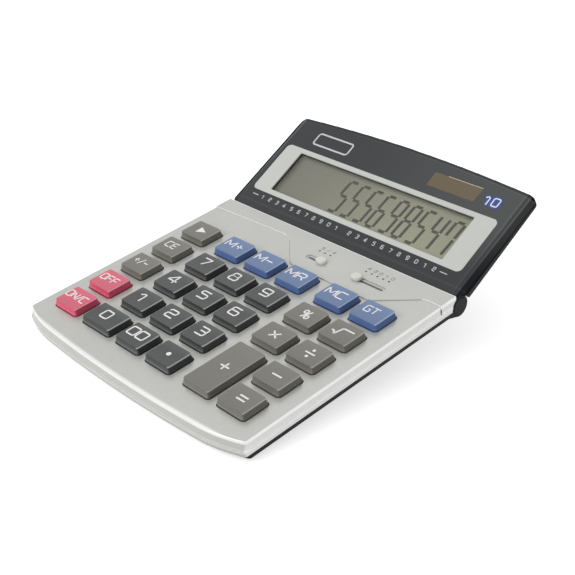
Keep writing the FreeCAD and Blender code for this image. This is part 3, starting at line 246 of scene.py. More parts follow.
class Surface:
    """A material while it is painted: its tree, its shader and the place on the object."""

    def __init__(self, name: str) -> None:
        """Start a material with its shader and object coordinates.

        Args:
            name: The material's name.
        """
        self.material = bpy.data.materials.new(name)
        self.material.use_nodes = True
        self.tree = self.material.node_tree
        self.shader = self.tree.nodes["Principled BSDF"]
        self.place = add_node(self.tree, "ShaderNodeTexCoord").outputs["Object"]

    def spots(self, size: float, detail: float = 2.0,
              stretch: tuple[float, float, float] = (1.0, 1.0, 1.0)) -> Signal:
        """Pattern of soft random spots.

        Args:
            size: Size of a spot, in millimetres.
            detail: Octaves of finer spots.
            stretch: How often the pattern repeats along each axis, against the others.

        Returns:
            The pattern, from 0 to 1.
        """
        moved = add_node(self.tree, "ShaderNodeMapping", None, {"Vector": self.place, "Scale": stretch})
        spots = add_node(self.tree, "ShaderNodeTexNoise", None,
                         {"Vector": moved.outputs["Vector"], "Scale": 1 / (size * MM), "Detail": detail})
        return Signal(spots.outputs["Fac"])

    def flat(self, place: Matrix) -> list[Signal]:
        """Place on the object in a flat frame.

        Args:
            place: The flat frame.

        Returns:
            X, Y and Z, in metres.
        """
        turned = add_node(self.tree, "ShaderNodeMapping", {"vector_type": "TEXTURE"},
                          {"Vector": self.place, "Location": place.translation, "Rotation": place.to_euler()})
        parts = add_node(self.tree, "ShaderNodeSeparateXYZ", None, {"Vector": turned.outputs["Vector"]})
        return [Signal(part) for part in parts.outputs]

    def facing(self, way: Vector, span: Span, both: bool = False) -> Signal:
        """Share that rises from 0 to 1 as a face turns towards a direction.

        Args:
            way: The direction, in object coordinates.
            span: Cosines of the turn where it starts and where it is full.
            both: Whether the opposite direction counts too.

        Returns:
            The share.
        """
        normal = add_node(self.tree, "ShaderNodeTexCoord").outputs["Normal"]
        dot = add_node(self.tree, "ShaderNodeVectorMath", {"operation": "DOT_PRODUCT"}, {0: normal, 1: way})
        turn = Signal(dot.outputs["Value"])
        return (abs(turn) if both else turn).spread(0.0, 1.0, *span)


@dataclass(frozen=True)
class Finish:
    """What every finish has: the material's name and a way to make it once."""

    name: str

    def material(self) -> bpy.types.Material:
        """Make the material, or take it if it was made before.

        Returns:
            The material.
        """
        found = bpy.data.materials.get(self.name)
        if not found:
            surface = Surface(self.name)
            self.paint(surface)
            found = surface.material
        return found

    def paint(self, surface: Surface) -> None:
        """Set the shader's inputs; each finish has its own."""
        raise NotImplementedError


@dataclass(frozen=True)
class Plastic(Finish):
    """Injection-moulded ABS: an even colour with a fine spark-eroded grain that softens its gloss."""

    colour: str = "#808080"
    roughness: float = 0.4
    grain: float = 0.45
    depth: float = 0.006
    variation: float = 0.07
    specular: float = 0.5
    flow_mark: float = 14.0

    def paint(self, surface: Surface) -> None:
        """Broad flow marks in the colour, a fine grain in the relief and the gloss.

        Args:
            surface: The material that gets them.
        """
        grains = surface.spots(self.grain, 3.0)
        tone = surface.spots(self.flow_mark).tones(self.colour, self.variation, self.variation)
        tone = grains.spread(0.0, 1.0).blend(tone, linear(self.colour))
        feed(surface.shader, {"Base Color": self.zones(surface, tone),
                              "Roughness": grains.spread(self.roughness - 0.05, self.roughness + 0.07),
                              "Normal": grains.relief(self.depth, under=self.hollow(surface)),
                              "Specular IOR Level": self.specular})

    def zones(self, surface: Surface, tone: Signal) -> Signal:
        """Colour by where on the piece a point lies; plain plastic has one zone."""
        return tone

    def hollow(self, surface: Surface) -> Signal | None:
        """Normal of a moulded hollow; plain plastic has none."""
        return None


@dataclass(frozen=True)
class KeyPlastic(Plastic):
    """Double-shot key cap: dished satin top, ledge round its skirt, painted highlight, light, sheen and shade."""

    painted_sheen: str = "#d5d8d8"
    deck: Matrix = field(default_factory=Matrix)
    # Middle of a key, from one row to the next, half its depth, and the dish's depth.
    middle: float = -107.1
    pitch: float = 17.9
    half: float = 6.15
    dish: float = 0.35
    # Shares of painted light on the front wall and painted shade on the sides, and a deeper walls colour painted as
    # shade.
    painted_front_light: float = 0.35
    side: float = 0.5
    walls: str | None = None
    # Turns that count as a wall and as the rounded edge of the top.
    steep: Span = (0.6, 0.85)
    rounded: Span = (0.25, 0.5)
    # Heights of the top, its rounded edge, the painted front light, the walls' painted shade colour and the skirt's
    # painted shade.
    top: Span = (8.9, 9.2)
    edge: Span = (8.95, 9.25)
    glow: Span = (8.9, 7.4)
    wall: Span = (9.1, 8.8)
    skirt: Span = (6.95, 6.55)
    # Painted sheen towards the rear of the top and painted shade towards its front: share, and place from -1 to 1 along
    # the key.
    rear_share: float = 0.07
    rear: Span = (0.2, 1.0)
    near_share: float = 0.16
    near: Span = (0.1, -1.0)
    near_tone: float = -0.6
    # Shares and tones of the other zones.
    edge_share: float = 0.75
    wall_share: float = 0.55
    side_tone: float = -0.6
    glow_tone: float = 0.8
    glow_sheen: float = 0.12
    skirt_share: float = 0.8
    skirt_tone: float = -0.75

    def zones(self, surface: Surface, tone: Signal) -> Signal:
        """Painted highlight on the rim, light on the front wall, sheen and shade on the top, shade on the walls and
        skirt, by height above the deck.

        Args:
            surface: The material.
            tone: The plastic's colour.

        Returns:
            The colour with its zones.
        """
        height = surface.flat(self.deck)[2]
        along = self.along(surface)
        top = height.rise(*self.top)
        sides = surface.facing(SIDEWAYS, self.steep, True)
        rim_highlight = surface.facing(SIDEWAYS, self.rounded, True) * height.rise(*self.edge)
        painted_front_light = surface.facing(self.deck.to_3x3() @ FORWARD, self.steep) * height.rise(*self.glow) * self.painted_front_light
        # Painted shade: the walls below the top take a deeper colour.
        if self.walls:
            tone = (height.rise(*self.wall) * self.wall_share).blend(tone, linear(self.walls))
        # Painted shade on the sides, painted light and sheen on the front wall, painted sheen and shade on the top,
        # painted highlight on the rim, painted shade on the skirt.
        for share, colour in (
                (sides * self.side, shaded(self.walls or self.colour, self.side_tone)),
                (painted_front_light, shaded(self.colour, self.glow_tone)),
                (painted_front_light * self.glow_sheen, linear(self.painted_sheen)),
                (top * along.spread(0.0, self.rear_share, *self.rear), linear(self.painted_sheen)),
                (top * along.spread(0.0, self.near_share, *self.near), shaded(self.colour, self.near_tone)),
                (rim_highlight * self.edge_share, linear(self.painted_sheen)),
                (height.rise(*self.skirt) * self.skirt_share, shaded(self.colour, self.skirt_tone))):
            tone = share.blend(tone, colour)
        return tone

    def along(self, surface: Surface) -> Signal:
        """Place on a key from its front edge to its rear edge.

        Args:
            surface: The material.

        Returns:
            The place, from -1 to 1.
        """
        rows = (surface.flat(self.deck)[1] - self.middle * MM) / (self.pitch * MM)
        return rows.sum("WRAP", 0.5, -0.5) * (self.pitch / self.half)

    def hollow(self, surface: Surface) -> Signal | None:
        """Shallow dish across each top, from front to rear."""
        along = self.along(surface)
        return (along * along).relief(self.dish)


@dataclass(frozen=True)
class DisplayPlastic(Plastic):
    """Charcoal face of the display, with a painted sheen towards its upper right and painted shade on the bevel at its
    sides and top.
    """

    light: str = "#474a4a"
    display: Matrix = field(default_factory=Matrix)
    # Bowed top edge: its radius and its middle, up the display.
    arch: float = 859.5
    arch_middle: float = -799.4
    # Painted sheen: the face lightens to the right and upwards, and again on the slope below the bezel.
    lighter_right: Span = (-40.0, 66.0)
    lighter_up: Span = (8.0, 42.0)
    slope_low: Span = (3.6, 4.4)
    slope_high: Span = (5.6, 4.6)
    slope_share: float = 0.35
    # Painted highlights and shade: level of the face's tone by the distance from the middle line: edge, groove, bevel,
    # side.
    steps: tuple[Span, ...] = ((67.7, 0.5), (68.2, 0.78), (69.4, 0.24), (70.25, 0.75), (70.8, 0.34),
                               (72.6, 0.34), (73.0, 0.2))
    steps_span: float = 5.5
    # Painted shade on the left side.
    left_side: Span = (-69.0, -69.8)
    left_level: float = 0.22
    # Painted highlight: a fine line along the top edge, by the distance inside it, with painted shade on the bevel
    # beyond.
    line_in: Span = (0.0, 0.3)
    line_out: Span = (0.9, 0.4)
    line_level: float = 0.15
    bevel_level: float = 0.3
    bevel_half: float = 0.15
    # Beyond this distance from the middle line the plastic is dull.
    dull: Span = (70.2, 70.7)

    def zones(self, surface: Surface, tone: Signal) -> Signal:
        """Painted sheen across the face, then painted highlight lines and painted shade on the bevel at its rim.

        Args:
            surface: The material.
            tone: The plastic's colour.

        Returns:
            The colour with its zones.
        """
        x, y, _ = surface.flat(self.display)
        tone = (x.rise(*self.lighter_right) * y.rise(*self.lighter_up)).blend(tone, linear(self.light))
        slope = y.rise(*self.slope_low) * y.rise(*self.slope_high) * self.slope_share
        tone = slope.blend(tone, linear(self.light))
        up = y - self.arch_middle * MM
        square = x * x + up * up
        inside = self.arch * MM - square.sum("SQRT")
        level = self.levels(surface, abs(x))
        level = level + x.rise(*self.left_side) * (self.left_level - level)
        level = level + inside.rise(*self.line_in) * inside.rise(*self.line_out) * self.line_level
        level = level * inside.spread(self.bevel_level, 1.0, -self.bevel_half * MM, self.bevel_half * MM)
        grey = add_node(surface.tree, "ShaderNodeCombineXYZ", None, {0: level, 1: level, 2: level})
        # A level of 0.5 leaves the tone as it is, so that levels up to twice the tone fit on the ramp.
        doubled = add_node(surface.tree, "ShaderNodeVectorMath", {"operation": "SCALE"},
                           {0: grey.outputs["Vector"], "Scale": 2.0})
        toned = add_node(surface.tree, "ShaderNodeVectorMath", {"operation": "MULTIPLY"},
                         {0: tone, 1: doubled.outputs["Vector"]})
        return Signal(toned.outputs["Vector"])

    def levels(self, surface: Surface, across: Signal) -> Signal:
        """Level of the painted highlights and shade across the face, from its steps.

        Args:
            surface: The material.
            across: Distance from the middle line, in metres.

        Returns:
            The level.
        """
        start = self.steps[0][0] - 0.1
        share = across.spread(0.0, 1.0, start * MM, (start + self.steps_span) * MM)
        node = add_node(surface.tree, "ShaderNodeValToRGB", None, {"Fac": share})
        marks = node.color_ramp.elements
        for place, level in self.steps[1:-1]:
            marks.new((place - start) / self.steps_span).color = (level, level, level, 1.0)
        for mark, (place, level) in ((marks[0], self.steps[0]), (marks[-1], self.steps[-1])):
            mark.position = (place - start) / self.steps_span
            mark.color = (level, level, level, 1.0)
        return Signal(node.outputs["Color"])

    def paint(self, surface: Surface) -> None:
        """Plain plastic with its zones; the bevel and the sides are duller than the face.

        Args:
            surface: The material that gets them.
        """
        super().paint(surface)
        across = abs(surface.flat(self.display)[0])
        feed(surface.shader, {"Specular IOR Level": across.spread(self.specular, 0.0, *[d * MM for d in self.dull])})


@dataclass(frozen=True)
class SilverPaint(Finish):
    """Metallic silver paint on moulded ABS: aluminium flakes under a thin satin lacquer; highlights and shade painted
    in.
    """

    colour: str = "#bdbeb9"
    rim_highlight: str = "#fbfcfb"
    flake: float = 0.5
    metallic: float = 0.3
    roughness: float = 0.36
    deck: Matrix = field(default_factory=Matrix)
    # Share and tone of the bright flakes, broad clouds in them, and the lacquer's orange peel with its depth.
    glint_share: float = 0.35
    glint_tone: float = 0.22
    cloud: float = 18.0
    cloud_tone: float = 0.03
    peel: float = 1.2
    peel_depth: float = 0.01
    # Painted light on the side walls; painted shade on walls that lean to the front, most of all at the hem.
    steep: Span = (0.5, 0.9)
    steep_share: float = 0.48
    leaning: Span = (0.15, 0.6)
    lean_share: float = 0.24
    lean_tone: float = -0.5
    hem: Span = (1.3, 0.7)
    hem_share: float = 0.2
    lean_loss: float = 0.35
    # Faces turned away from the deck's own.
    turned: Span = (0.9, 0.975)
    # Places of the side walls, the front, the seam before the rear cover and the cover's rear edge.
    wall: Span = (71.1, 71.3)
    front: Span = (-119.0, -119.5)
    seam: Span = (-13.3, -13.0)
    cover: Span = (-3.5, -3.0)
    # Bowed front edge: its middle along the deck, and the radii that its rounding lies between.
    bow_middle: float = 632.5
    bow: Span = (757.9, 759.8)
    # Heights of the painted highlights on the rims, and of the painted bright line and pale band at the step in the
    # wall.
    rims: Span = (4.8, 5.4)
    line_low: Span = (1.9, 2.15)
    line_high: Span = (2.8, 2.6)
    band_low: Span = (1.0, 1.4)
    band_high: Span = (2.15, 1.9)
    rim_share: float = 0.97
    band_share: float = 0.3
    front_line: float = 0.35

    def paint(self, surface: Surface) -> None:
        """Flakes vary in brightness and gloss; they are drawn larger than the real 0.05 mm so that they show.

        Args:
            surface: The material that gets them.
        """
        flakes = add_node(surface.tree, "ShaderNodeTexVoronoi", None,
                          {"Vector": surface.place, "Scale": 1 / (self.flake * MM)}).outputs["Color"]
        grey = Signal(add_node(surface.tree, "ShaderNodeSeparateColor", None, {"Color": flakes}).outputs["Red"])
        tone = surface.spots(self.cloud).tones(self.colour, self.cloud_tone, self.cloud_tone)
        tone = grey.spread(0.0, self.glint_share, 0.0, 1.0).blend(tone, shaded(self.colour, self.glint_tone))
        # Painted light on the side walls, then painted shade on walls that lean to the front.
        steep = surface.facing(SIDEWAYS, self.steep, True) * self.steep_share
        tone = steep.blend(tone, linear(self.rim_highlight))
        leaning = surface.facing(self.deck.to_3x3() @ FORWARD, self.leaning)
        x, y, z = surface.flat(self.deck)
        shade = leaning * (z.rise(*self.hem) * self.hem_share + self.lean_share)
        tone = shade.blend(tone, shaded(self.colour, self.lean_tone))
        # Painted highlights along the rims and at the step, fainter on the front walls.
        edges = self.edges(surface, x, y, z) * (1.0 - leaning * self.lean_loss)
        feed(surface.shader, {"Base Color": edges.blend(tone, linear(self.rim_highlight)),
                              "Roughness": grey.spread(self.roughness - 0.05, self.roughness + 0.05, 0.0, 1.0),
                              "Normal": surface.spots(self.peel).relief(self.peel_depth, 0.5),
                              "Metallic": self.metallic, "Coat Weight": 0.25, "Coat Roughness": 0.22})

    def edges(self, surface: Surface, x: Signal, y: Signal, z: Signal) -> Signal:
        """Share of the painted highlight along the rounded rims, and of the painted bright line and band at the step in
        the wall.

        Args:
            surface: The material.
            x: To the right in the deck frame, in metres.
            y: Along the deck, in metres.
            z: Square to the deck, in metres.

        Returns:
            The share of the painted highlight's colour.
        """
        away = y - self.bow_middle * MM
        square = x * x + away * away
        bowed = square.sum("SQRT").rise(*self.bow)
        side = abs(x).rise(*self.wall)
        outer = side | y.rise(*self.front)
        away_from_deck = 1.0 - surface.facing(self.deck.to_3x3() @ UPWARD, self.turned)
        turned = (outer | y.rise(*self.seam)) * away_from_deck
        rims = (turned | bowed | y.rise(*self.cover)) * z.rise(*self.rims)
        band = z.rise(*self.band_low) * z.rise(*self.band_high) * self.band_share
        line = z.rise(*self.line_low) * z.rise(*self.line_high) * (side | self.front_line)
        return rims * self.rim_share + (line + band) * outer


@dataclass(frozen=True)
class Metal(Finish):
    """Plated steel or nickel, brushed along one axis."""

    colour: str = "#b8b8b6"
    roughness: float = 0.32
    along: tuple[float, float, float] = (0.08, 1.0, 1.0)
    brush_mark: float = 0.25
    tarnish: float = 3.0
    depth: float = 0.004

    def paint(self, surface: Surface) -> None:
        """Long brush marks in the gloss, with soft tarnish.

        Args:
            surface: The material that gets them.
        """
        brushed = surface.spots(self.brush_mark, 3.0, self.along)
        feed(surface.shader, {"Base Color": surface.spots(self.tarnish).tones(self.colour, 0.12, 0.06),
                              "Roughness": brushed.spread(self.roughness - 0.1, self.roughness + 0.12),
                              "Normal": brushed.relief(self.depth), "Metallic": 1.0})


@dataclass(frozen=True)
class Rubber(Finish):
    """Moulded rubber or silicone: dull, with a soft dusty mottle."""

    colour: str = "#2b2b2c"
    roughness: float = 0.82
    dust: float = 0.25
    patch: float = 2.2
    pit: float = 0.35
    depth: float = 0.02

    def paint(self, surface: Surface) -> None:
        """Dust in patches over a pitted surface.

        Args:
            surface: The material that gets them.
        """
        patches = surface.spots(self.patch, 4.0)
        feed(surface.shader, {"Base Color": patches.tones(self.colour, 0.1, self.dust),
                              "Roughness": patches.spread(self.roughness - 0.06, self.roughness + 0.08),
                              "Normal": surface.spots(self.pit).relief(self.depth), "Specular IOR Level": 0.3})


@dataclass(frozen=True)
class Ink(Finish):
    """Pad-printed ink: a thin even film, a little uneven where it was pressed."""

    colour: str = "#f2f2f0"
    roughness: float = 0.5
    thin_spot: float = 0.6
    depth: float = 0.004

    def paint(self, surface: Surface) -> None:
        """Slight thin spots in the film.

        Args:
            surface: The material that gets them.
        """
        thin = surface.spots(self.thin_spot, 3.0)
        feed(surface.shader, {"Base Color": thin.tones(self.colour, 0.09, 0.0),
                              "Roughness": thin.spread(self.roughness - 0.05, self.roughness + 0.08),
                              "Normal": thin.relief(self.depth)})


@dataclass(frozen=True)
class Lens(Finish):
    """Thin acrylic lens: nearly clear, seen by its faint reflection."""

    colour: str = "#20241f"
    alpha: float = 0.12
    roughness: float = 0.12
    smear: float = 9.0

    def paint(self, surface: Surface) -> None:
        """Faint smears vary the gloss.

        Args:
            surface: The material that gets them.
        """
        smears = surface.spots(self.smear, 3.0, (1.0, 0.4, 1.0))
        feed(surface.shader, {"Base Color": smears.blend(shaded(self.colour, -0.1), shaded(self.colour, 0.1)),
                              "Roughness": smears.spread(self.roughness - 0.04, self.roughness + 0.06),
                              "Alpha": self.alpha, "Specular IOR Level": 0.5})


@dataclass(frozen=True)
class CrystalPanel(Finish):
    """Liquid crystal cell over a matt reflector: olive grey, with painted shade towards its top left."""

    light: str = "#afae97"
    dark: str = "#807f76"
    # Frame at the cell's middle, along its face.
    cell: Matrix = field(default_factory=Matrix)
    lighter_right: Span = (-55.0, 35.0)
    lighter_down: Span = (12.0, -12.0)
    # Painted soft shadow of the window's left and upper edges.
    left_shadow: Span = (-48.9, -54.0)
    upper_shadow: Span = (9.7, 13.0)
    shadow_share: float = 0.8
    shadow_tone: float = -0.72
    grain: float = 0.5
    depth: float = 0.003
    glint_share: float = 0.3
    glint_tone: float = 0.12

    def paint(self, surface: Surface) -> None:
        """Painted shade that changes slowly across the cell and a painted shadow at the window's edges, over the
        reflector's fine grain.

        Args:
            surface: The material that gets them.
        """
        x, y, _ = surface.flat(self.cell)
        share = x.rise(*self.lighter_right) * y.spread(0.55, 1.0, *[edge * MM for edge in self.lighter_down])
        tone = share.blend(linear(self.dark), linear(self.light))
        shadow = (x.rise(*self.left_shadow) | y.rise(*self.upper_shadow)) * self.shadow_share
        tone = shadow.blend(tone, shaded(self.dark, self.shadow_tone))
        grains = surface.spots(self.grain)
        tone = grains.spread(0.0, self.glint_share).blend(tone, shaded(self.light, self.glint_tone))
        feed(surface.shader, {"Base Color": tone, "Roughness": grains.spread(0.3, 0.42),
                              "Normal": grains.relief(self.depth)})


@dataclass(frozen=True)
class SolarPanel(Finish):
    """Amorphous silicon on glass: amber brown, with a violet cast in places."""

    colour: str = "#98835f"
    cast: str = "#83705f"
    drift: float = 11.0
    grain: float = 0.4
    depth: float = 0.002

    def paint(self, surface: Surface) -> None:
        """Thin-film colour that drifts slowly across the cell.

        Args:
            surface: The material that gets it.
        """
        drift = surface.spots(self.drift, 1.0).spread(0.0, 0.7)
        grains = surface.spots(self.grain)
        feed(surface.shader, {"Base Color": drift.blend(linear(self.colour), linear(self.cast)),
                              "Roughness": grains.spread(0.2, 0.3), "Normal": grains.relief(self.depth)})


@dataclass(frozen=True)
class CircuitBoard(Finish):
    """Glass-fibre board under green solder mask, with copper tracks that show through it."""

    mask: str = "#1f5b35"
    track: str = "#3d8a4f"
    pitch: float = 1.6
    weave: float = 0.6
    copper: float = 0.035

    def paint(self, surface: Surface) -> None:
        """Square-cornered tracks as a broken brick pattern, raised by the copper's thickness.

        Args:
            surface: The material that gets them.
        """
        bricks = Signal(add_node(surface.tree, "ShaderNodeTexBrick", {"offset": 0.35, "squash": 1.6},
                                 {"Vector": surface.place, "Scale": 1 / (4 * self.pitch * MM), "Mortar Size": 0.035,
                                  "Mortar Smooth": 0.1, "Brick Width": 0.9, "Row Height": 0.25}).outputs["Fac"])
        weave = surface.spots(self.weave)
        tone = bricks.blend(linear(self.mask), linear(self.track))
        feed(surface.shader, {"Base Color": weave.spread(0.0, 0.25).blend(tone, shaded(self.mask, 0.3)),
                              "Roughness": weave.spread(0.3, 0.42), "Normal": bricks.relief(self.copper)})


@dataclass(frozen=True)
class RibbonCable(Finish):
    """Flat polyester cable: parallel tinned conductors under a pale film."""

    film: str = "#c9cdd0"
    conductor: str = "#8d9296"
    pitch: float = 1.0
    depth: float = 0.05
    # Scale that Blender's band texture needs for one band in a metre.
    band_scale: float = 1 / 3.2

    def paint(self, surface: Surface) -> None:
        """Bands across X at the conductors' pitch.

        Args:
            surface: The material that gets them.
        """
        bands = Signal(add_node(surface.tree, "ShaderNodeTexWave", {"wave_type": "BANDS", "bands_direction": "X"},
                                {"Vector": surface.place, "Scale": self.band_scale / (self.pitch * MM)}).outputs["Fac"])
        tone = bands.spread(0.0, 1.0, 0.4, 0.6).blend(linear(self.film), linear(self.conductor))
        feed(surface.shader, {"Base Color": tone, "Normal": bands.relief(self.depth), "Roughness": 0.35})


@dataclass(frozen=True)
class FoilJacket(Finish):
    """Printed foil sleeve of a small cell: silver with a coloured band near one end."""

    foil: str = "#b9bcc0"
    band: str = "#2f6f8f"
    edge: float = 9.0
    crease: float = 2.5
    depth: float = 0.02

    def paint(self, surface: Surface) -> None:
        """Band at one end along X, with creases in the foil.

        Args:
            surface: The material that gets them.
        """
        x = Signal(add_node(surface.tree, "ShaderNodeSeparateXYZ", None, {"Vector": surface.place}).outputs["X"])
        banded = x.spread(0.0, 1.0, self.edge * MM, (self.edge + 0.2) * MM)
        creases = surface.spots(self.crease, 3.0, (0.3, 1.0, 1.0))
        feed(surface.shader, {"Base Color": banded.blend(linear(self.foil), linear(self.band)),
                              "Roughness": creases.spread(0.25, 0.4), "Normal": creases.relief(self.depth),
                              "Metallic": 0.6})


# Printed films: even and satin, so that legends stay crisp; the silver and the warm film shine a little more. The warm
# film is a painted highlight along the edge over the solar cell.
WHITE_INK = Ink("white_pad_print", "#fdfdfc")
GREY_INK = Ink("grey_pad_print", "#3d3e3f")
PALE_INK = Ink("pale_grey_pad_print", "#8d8e90")
SILVER_INK = Ink("silver_pad_print", "#d3d7d8", 0.38)
EDGE_HIGHLIGHT_FILM = Ink("warm_painted_edge_highlight", "#cdc4ad", 0.38)
BLUE_INK = Ink("blue_pad_print", "#3c5cb4")
SEGMENT_INK = Ink("dark_liquid_crystal_segment", "#595d51", 0.4)


class Places:
    """Flat frames of the deck and of the display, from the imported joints."""

    def __init__(self) -> None:
        """Read the hinge and one key's travel from the record's joints."""
        joints = {joint["name"]: joint for joint in frame["joints"]}
        hinge = Matrix.Translation(joints["display_tilt"]["pos_m"])
        travel = Vector(joints["key_5_press"]["axis"])
        slope = math.atan2(-travel.y, travel.z)
        self.tilt = slope + math.radians(-joints["display_tilt"]["range_deg"][0])
        self.deck = hinge @ Matrix.Rotation(slope, 4, "X")
        self.display = hinge @ Matrix.Rotation(self.tilt, 4, "X")

    @staticmethod
    def box(node: str, place: Matrix) -> tuple[Vector, Vector]:
        """Lowest and highest corner of a CAD node in a flat frame.

        Args:
            node: The node's name.
            place: The flat frame.

        Returns:
            The two corners.
        """
        back = np.array(place.inverted())
        mesh = frame["nodes"][node].data
        points = np.empty(len(mesh.vertices) * 3, np.float32)
        mesh.vertices.foreach_get("co", points)
        flat = points.reshape(-1, 3) @ back[:3, :3].T + back[:3, 3]
        return Vector(flat.min(0)), Vector(flat.max(0))


def finishes(places: Places) -> dict[str, Finish]:
    """Finishes by the record's slots; each name says the real material and how its surface was made.

    Args:
        places: The flat frames, for the finishes that change across a face.

    Returns:
        A finish for each slot.
    """
    low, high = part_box("lcd_glass")
    cell = Matrix.Translation((low + high) / 2) @ Matrix.Rotation(places.tilt, 4, "X")
    key = KeyPlastic("charcoal_key_abs_satin", "#313334", roughness=0.36, grain=0.4, variation=0.06, specular=0.6,
                     deck=places.deck, painted_front_light=1.0, side=0.55)
    grey = replace(key, name="warm_grey_abs_satin", colour="#737169", variation=0.05, painted_sheen="#c6c3b6", painted_front_light=0.32,
                   side=0.5)
    return {
        # Aluminium flakes in grey lacquer: a pale satin grey that glints, with painted highlights along its edges and
        # painted light and shade on its walls.
        "silver_shell": SilverPaint("metallic_silver_paint_on_abs", deck=places.deck),
        # Spark-eroded black: nearly matt, so that the lower shell is a dark band without highlights.
        "black_shell": Plastic("black_abs_spark_eroded", "#1d1e20", roughness=0.5, grain=0.5, depth=0.012,
                               specular=0.15),
        # Satin charcoal: a painted sheen across the face and a dull bevel round it in painted shade.
        "black_gloss": DisplayPlastic("charcoal_abs_satin", "#2c2f32", roughness=0.42, grain=0.5, variation=0.05,
                                      specular=0.35, display=places.display),
        # Key caps: dished satin tops with a painted sheen to the rear, a painted highlight on the rim and painted shade
        # on the walls and skirt.
        "key_charcoal": key,
        "key_crimson": replace(key, name="crimson_abs_satin", colour="#dc5b74", variation=0.04, painted_sheen="#ffb6c4",
                               painted_front_light=0.3, side=0.5, walls="#e0406a"),
        "key_blue": replace(key, name="blue_abs_satin", colour="#627ba7", variation=0.05, painted_sheen="#c6dcf6", painted_front_light=0.0,
                            side=0.5, walls="#4a6cb0"),
        "key_grey": grey,
        # The tall key has one long dish, so its rows are farther apart than the keypad.
        "key_grey_tall": replace(grey, name="warm_grey_abs_satin_tall", middle=-98.15, pitch=200.0, half=15.1,
                                 dish=0.7),
        # Cream knobs: warm off-white, satin from handling.
        "cream_knob": Plastic("cream_abs_moulded", "#e2e2d8", roughness=0.42, grain=0.5, variation=0.04),
        # Tinned sheet: bright, with short drawing marks.
        "switch_can": Metal("tinned_steel_can", "#b9bbbd", roughness=0.3),
        # Solder mask: green gloss with paler raised tracks.
        "circuit_board": CircuitBoard("solder_masked_fibre_board"),
        # Silicone: translucent grey and dull, with little dust.
        "silicone_mat": Rubber("grey_silicone_moulded", "#9a9c9d", roughness=0.7, dust=0.08),
        # Filled epoxy: flat black with a sandy grain.
        "chip": Plastic("black_epoxy_moulded", "#1d1d1e", roughness=0.55, grain=0.3, depth=0.01),
        # Zinc plating: bluish grey, softly tarnished.
        "screw_steel": Metal("zinc_plated_steel", "#a9acae", roughness=0.34),
        # Black rubber: dull and dusty.
        "rubber_foot": Rubber("black_rubber_moulded"),
        # Foil sleeve: creased silver with one blue band.
        "battery_jacket": FoilJacket("printed_foil_sleeve"),
        # Nickel: warm and brighter than zinc, brushed across the leaf.
        "contact_nickel": Metal("nickel_plated_spring_steel", "#c2bfb4", roughness=0.28, along=(1.0, 1.0, 0.1)),
        # Polyester ribbon: pale film over fine darker conductors.
        "ribbon": RibbonCable("flat_polyester_cable"),
        # Pale grey plate: an even satin that frames the window.
        "bezel_grey": Plastic("pale_grey_abs_satin", "#cbcec8", roughness=0.36, grain=0.5, depth=0.004,
                              variation=0.03),
        # Clear acrylic: seen only by its reflection.
        "clear_lens": Lens("clear_acrylic_lens", alpha=0.06),
        # Liquid crystal over its reflector: olive grey, with a painted shadow of the window at the left and the top.
        "lcd": CrystalPanel("liquid_crystal_cell", cell=cell),
        # Aluminised foil: matt and warm.
        "reflector": Metal("matt_aluminised_foil", "#c6c6bc", roughness=0.5),
        # Amber acrylic: a warm brown veil with a faint shine.
        "solar_lens": Lens("amber_acrylic_lens", "#6e6149", alpha=0.88, roughness=0.16),
        # Amorphous silicon: amber brown that drifts to violet.
        "solar": SolarPanel("amorphous_silicon_on_glass"),
    }


def place_piece(name: str, mesh: Mesh, flat: Matrix, spot: tuple[float, float, float], body: str) -> None:
    """Finish a piece: its place goes into its mesh and it rides on its body.

    Args:
        name: The piece's name.
        mesh: Its mesh, lying round the origin of a flat frame.
        flat: The flat frame.
        spot: Where it goes in the flat frame, in metres.
        body: The body that carries it.
    """
    mesh.name = name
    mesh.transform(flat @ Matrix.Translation(spot))
    piece = bpy.data.objects.new(name, mesh)
    bpy.context.scene.collection.objects.link(piece)
    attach(piece, body)
    log.info("piece %s on %s with %d faces", name, body, len(mesh.polygons))


def evaluated(mesh: Mesh, tree: Tree, values: dict) -> Mesh:
    """Run a geometry tree on a mesh and keep its result as a plain mesh.

    Args:
        mesh: What goes into the tree.
        tree: The geometry tree.
        values: The modifier's inputs by the name of the socket.

    Returns:
        The result.
    """
    carrier = bpy.data.objects.new("carrier", mesh)
    modifier = carrier.modifiers.new("Shape", "NODES")
    modifier.node_group = tree
    for item in tree.interface.items_tree:
        if item.in_out == "INPUT" and item.name in values:
            modifier[item.identifier] = values[item.name]
    bpy.context.scene.collection.objects.link(carrier)
    graph = bpy.context.evaluated_depsgraph_get()
    result = bpy.data.meshes.new_from_object(carrier.evaluated_get(graph))
    carrier.modifiers.clear()
    bpy.data.objects.remove(carrier)
    return result


def new_tree(name: str, inputs: dict[str, str]) -> tuple[Tree, Node, Node]:
    """Start a geometry tree with named inputs.

    Args:
        name: The tree's name.
        inputs: Socket types by name.

    Returns:
        The tree, its input node and its output node.
    """
    tree = bpy.data.node_groups.new(name, "GeometryNodeTree")
    for label, kind in inputs.items():
        tree.interface.new_socket(label, in_out="INPUT", socket_type=kind)
    tree.interface.new_socket("Geometry", in_out="OUTPUT", socket_type="NodeSocketGeometry")
    return tree, tree.nodes.new("NodeGroupInput"), tree.nodes.new("NodeGroupOutput")


def close_tree(tree: Tree, shape: Socket, finish: Socket, output: Node) -> Tree:
    """End a geometry tree in real geometry with its material.

    Args:
        tree: The tree.
        shape: What it has made.
        finish: The material's socket.
        output: The tree's output node.

    Returns:
        The tree.
    """
    real = add_node(tree, "GeometryNodeRealizeInstances", None, {"Geometry": shape}).outputs["Geometry"]
    dressed = add_node(tree, "GeometryNodeSetMaterial", None, {"Geometry": real, "Material": finish})
    tree.links.new(dressed.outputs["Geometry"], output.inputs["Geometry"])
    return tree


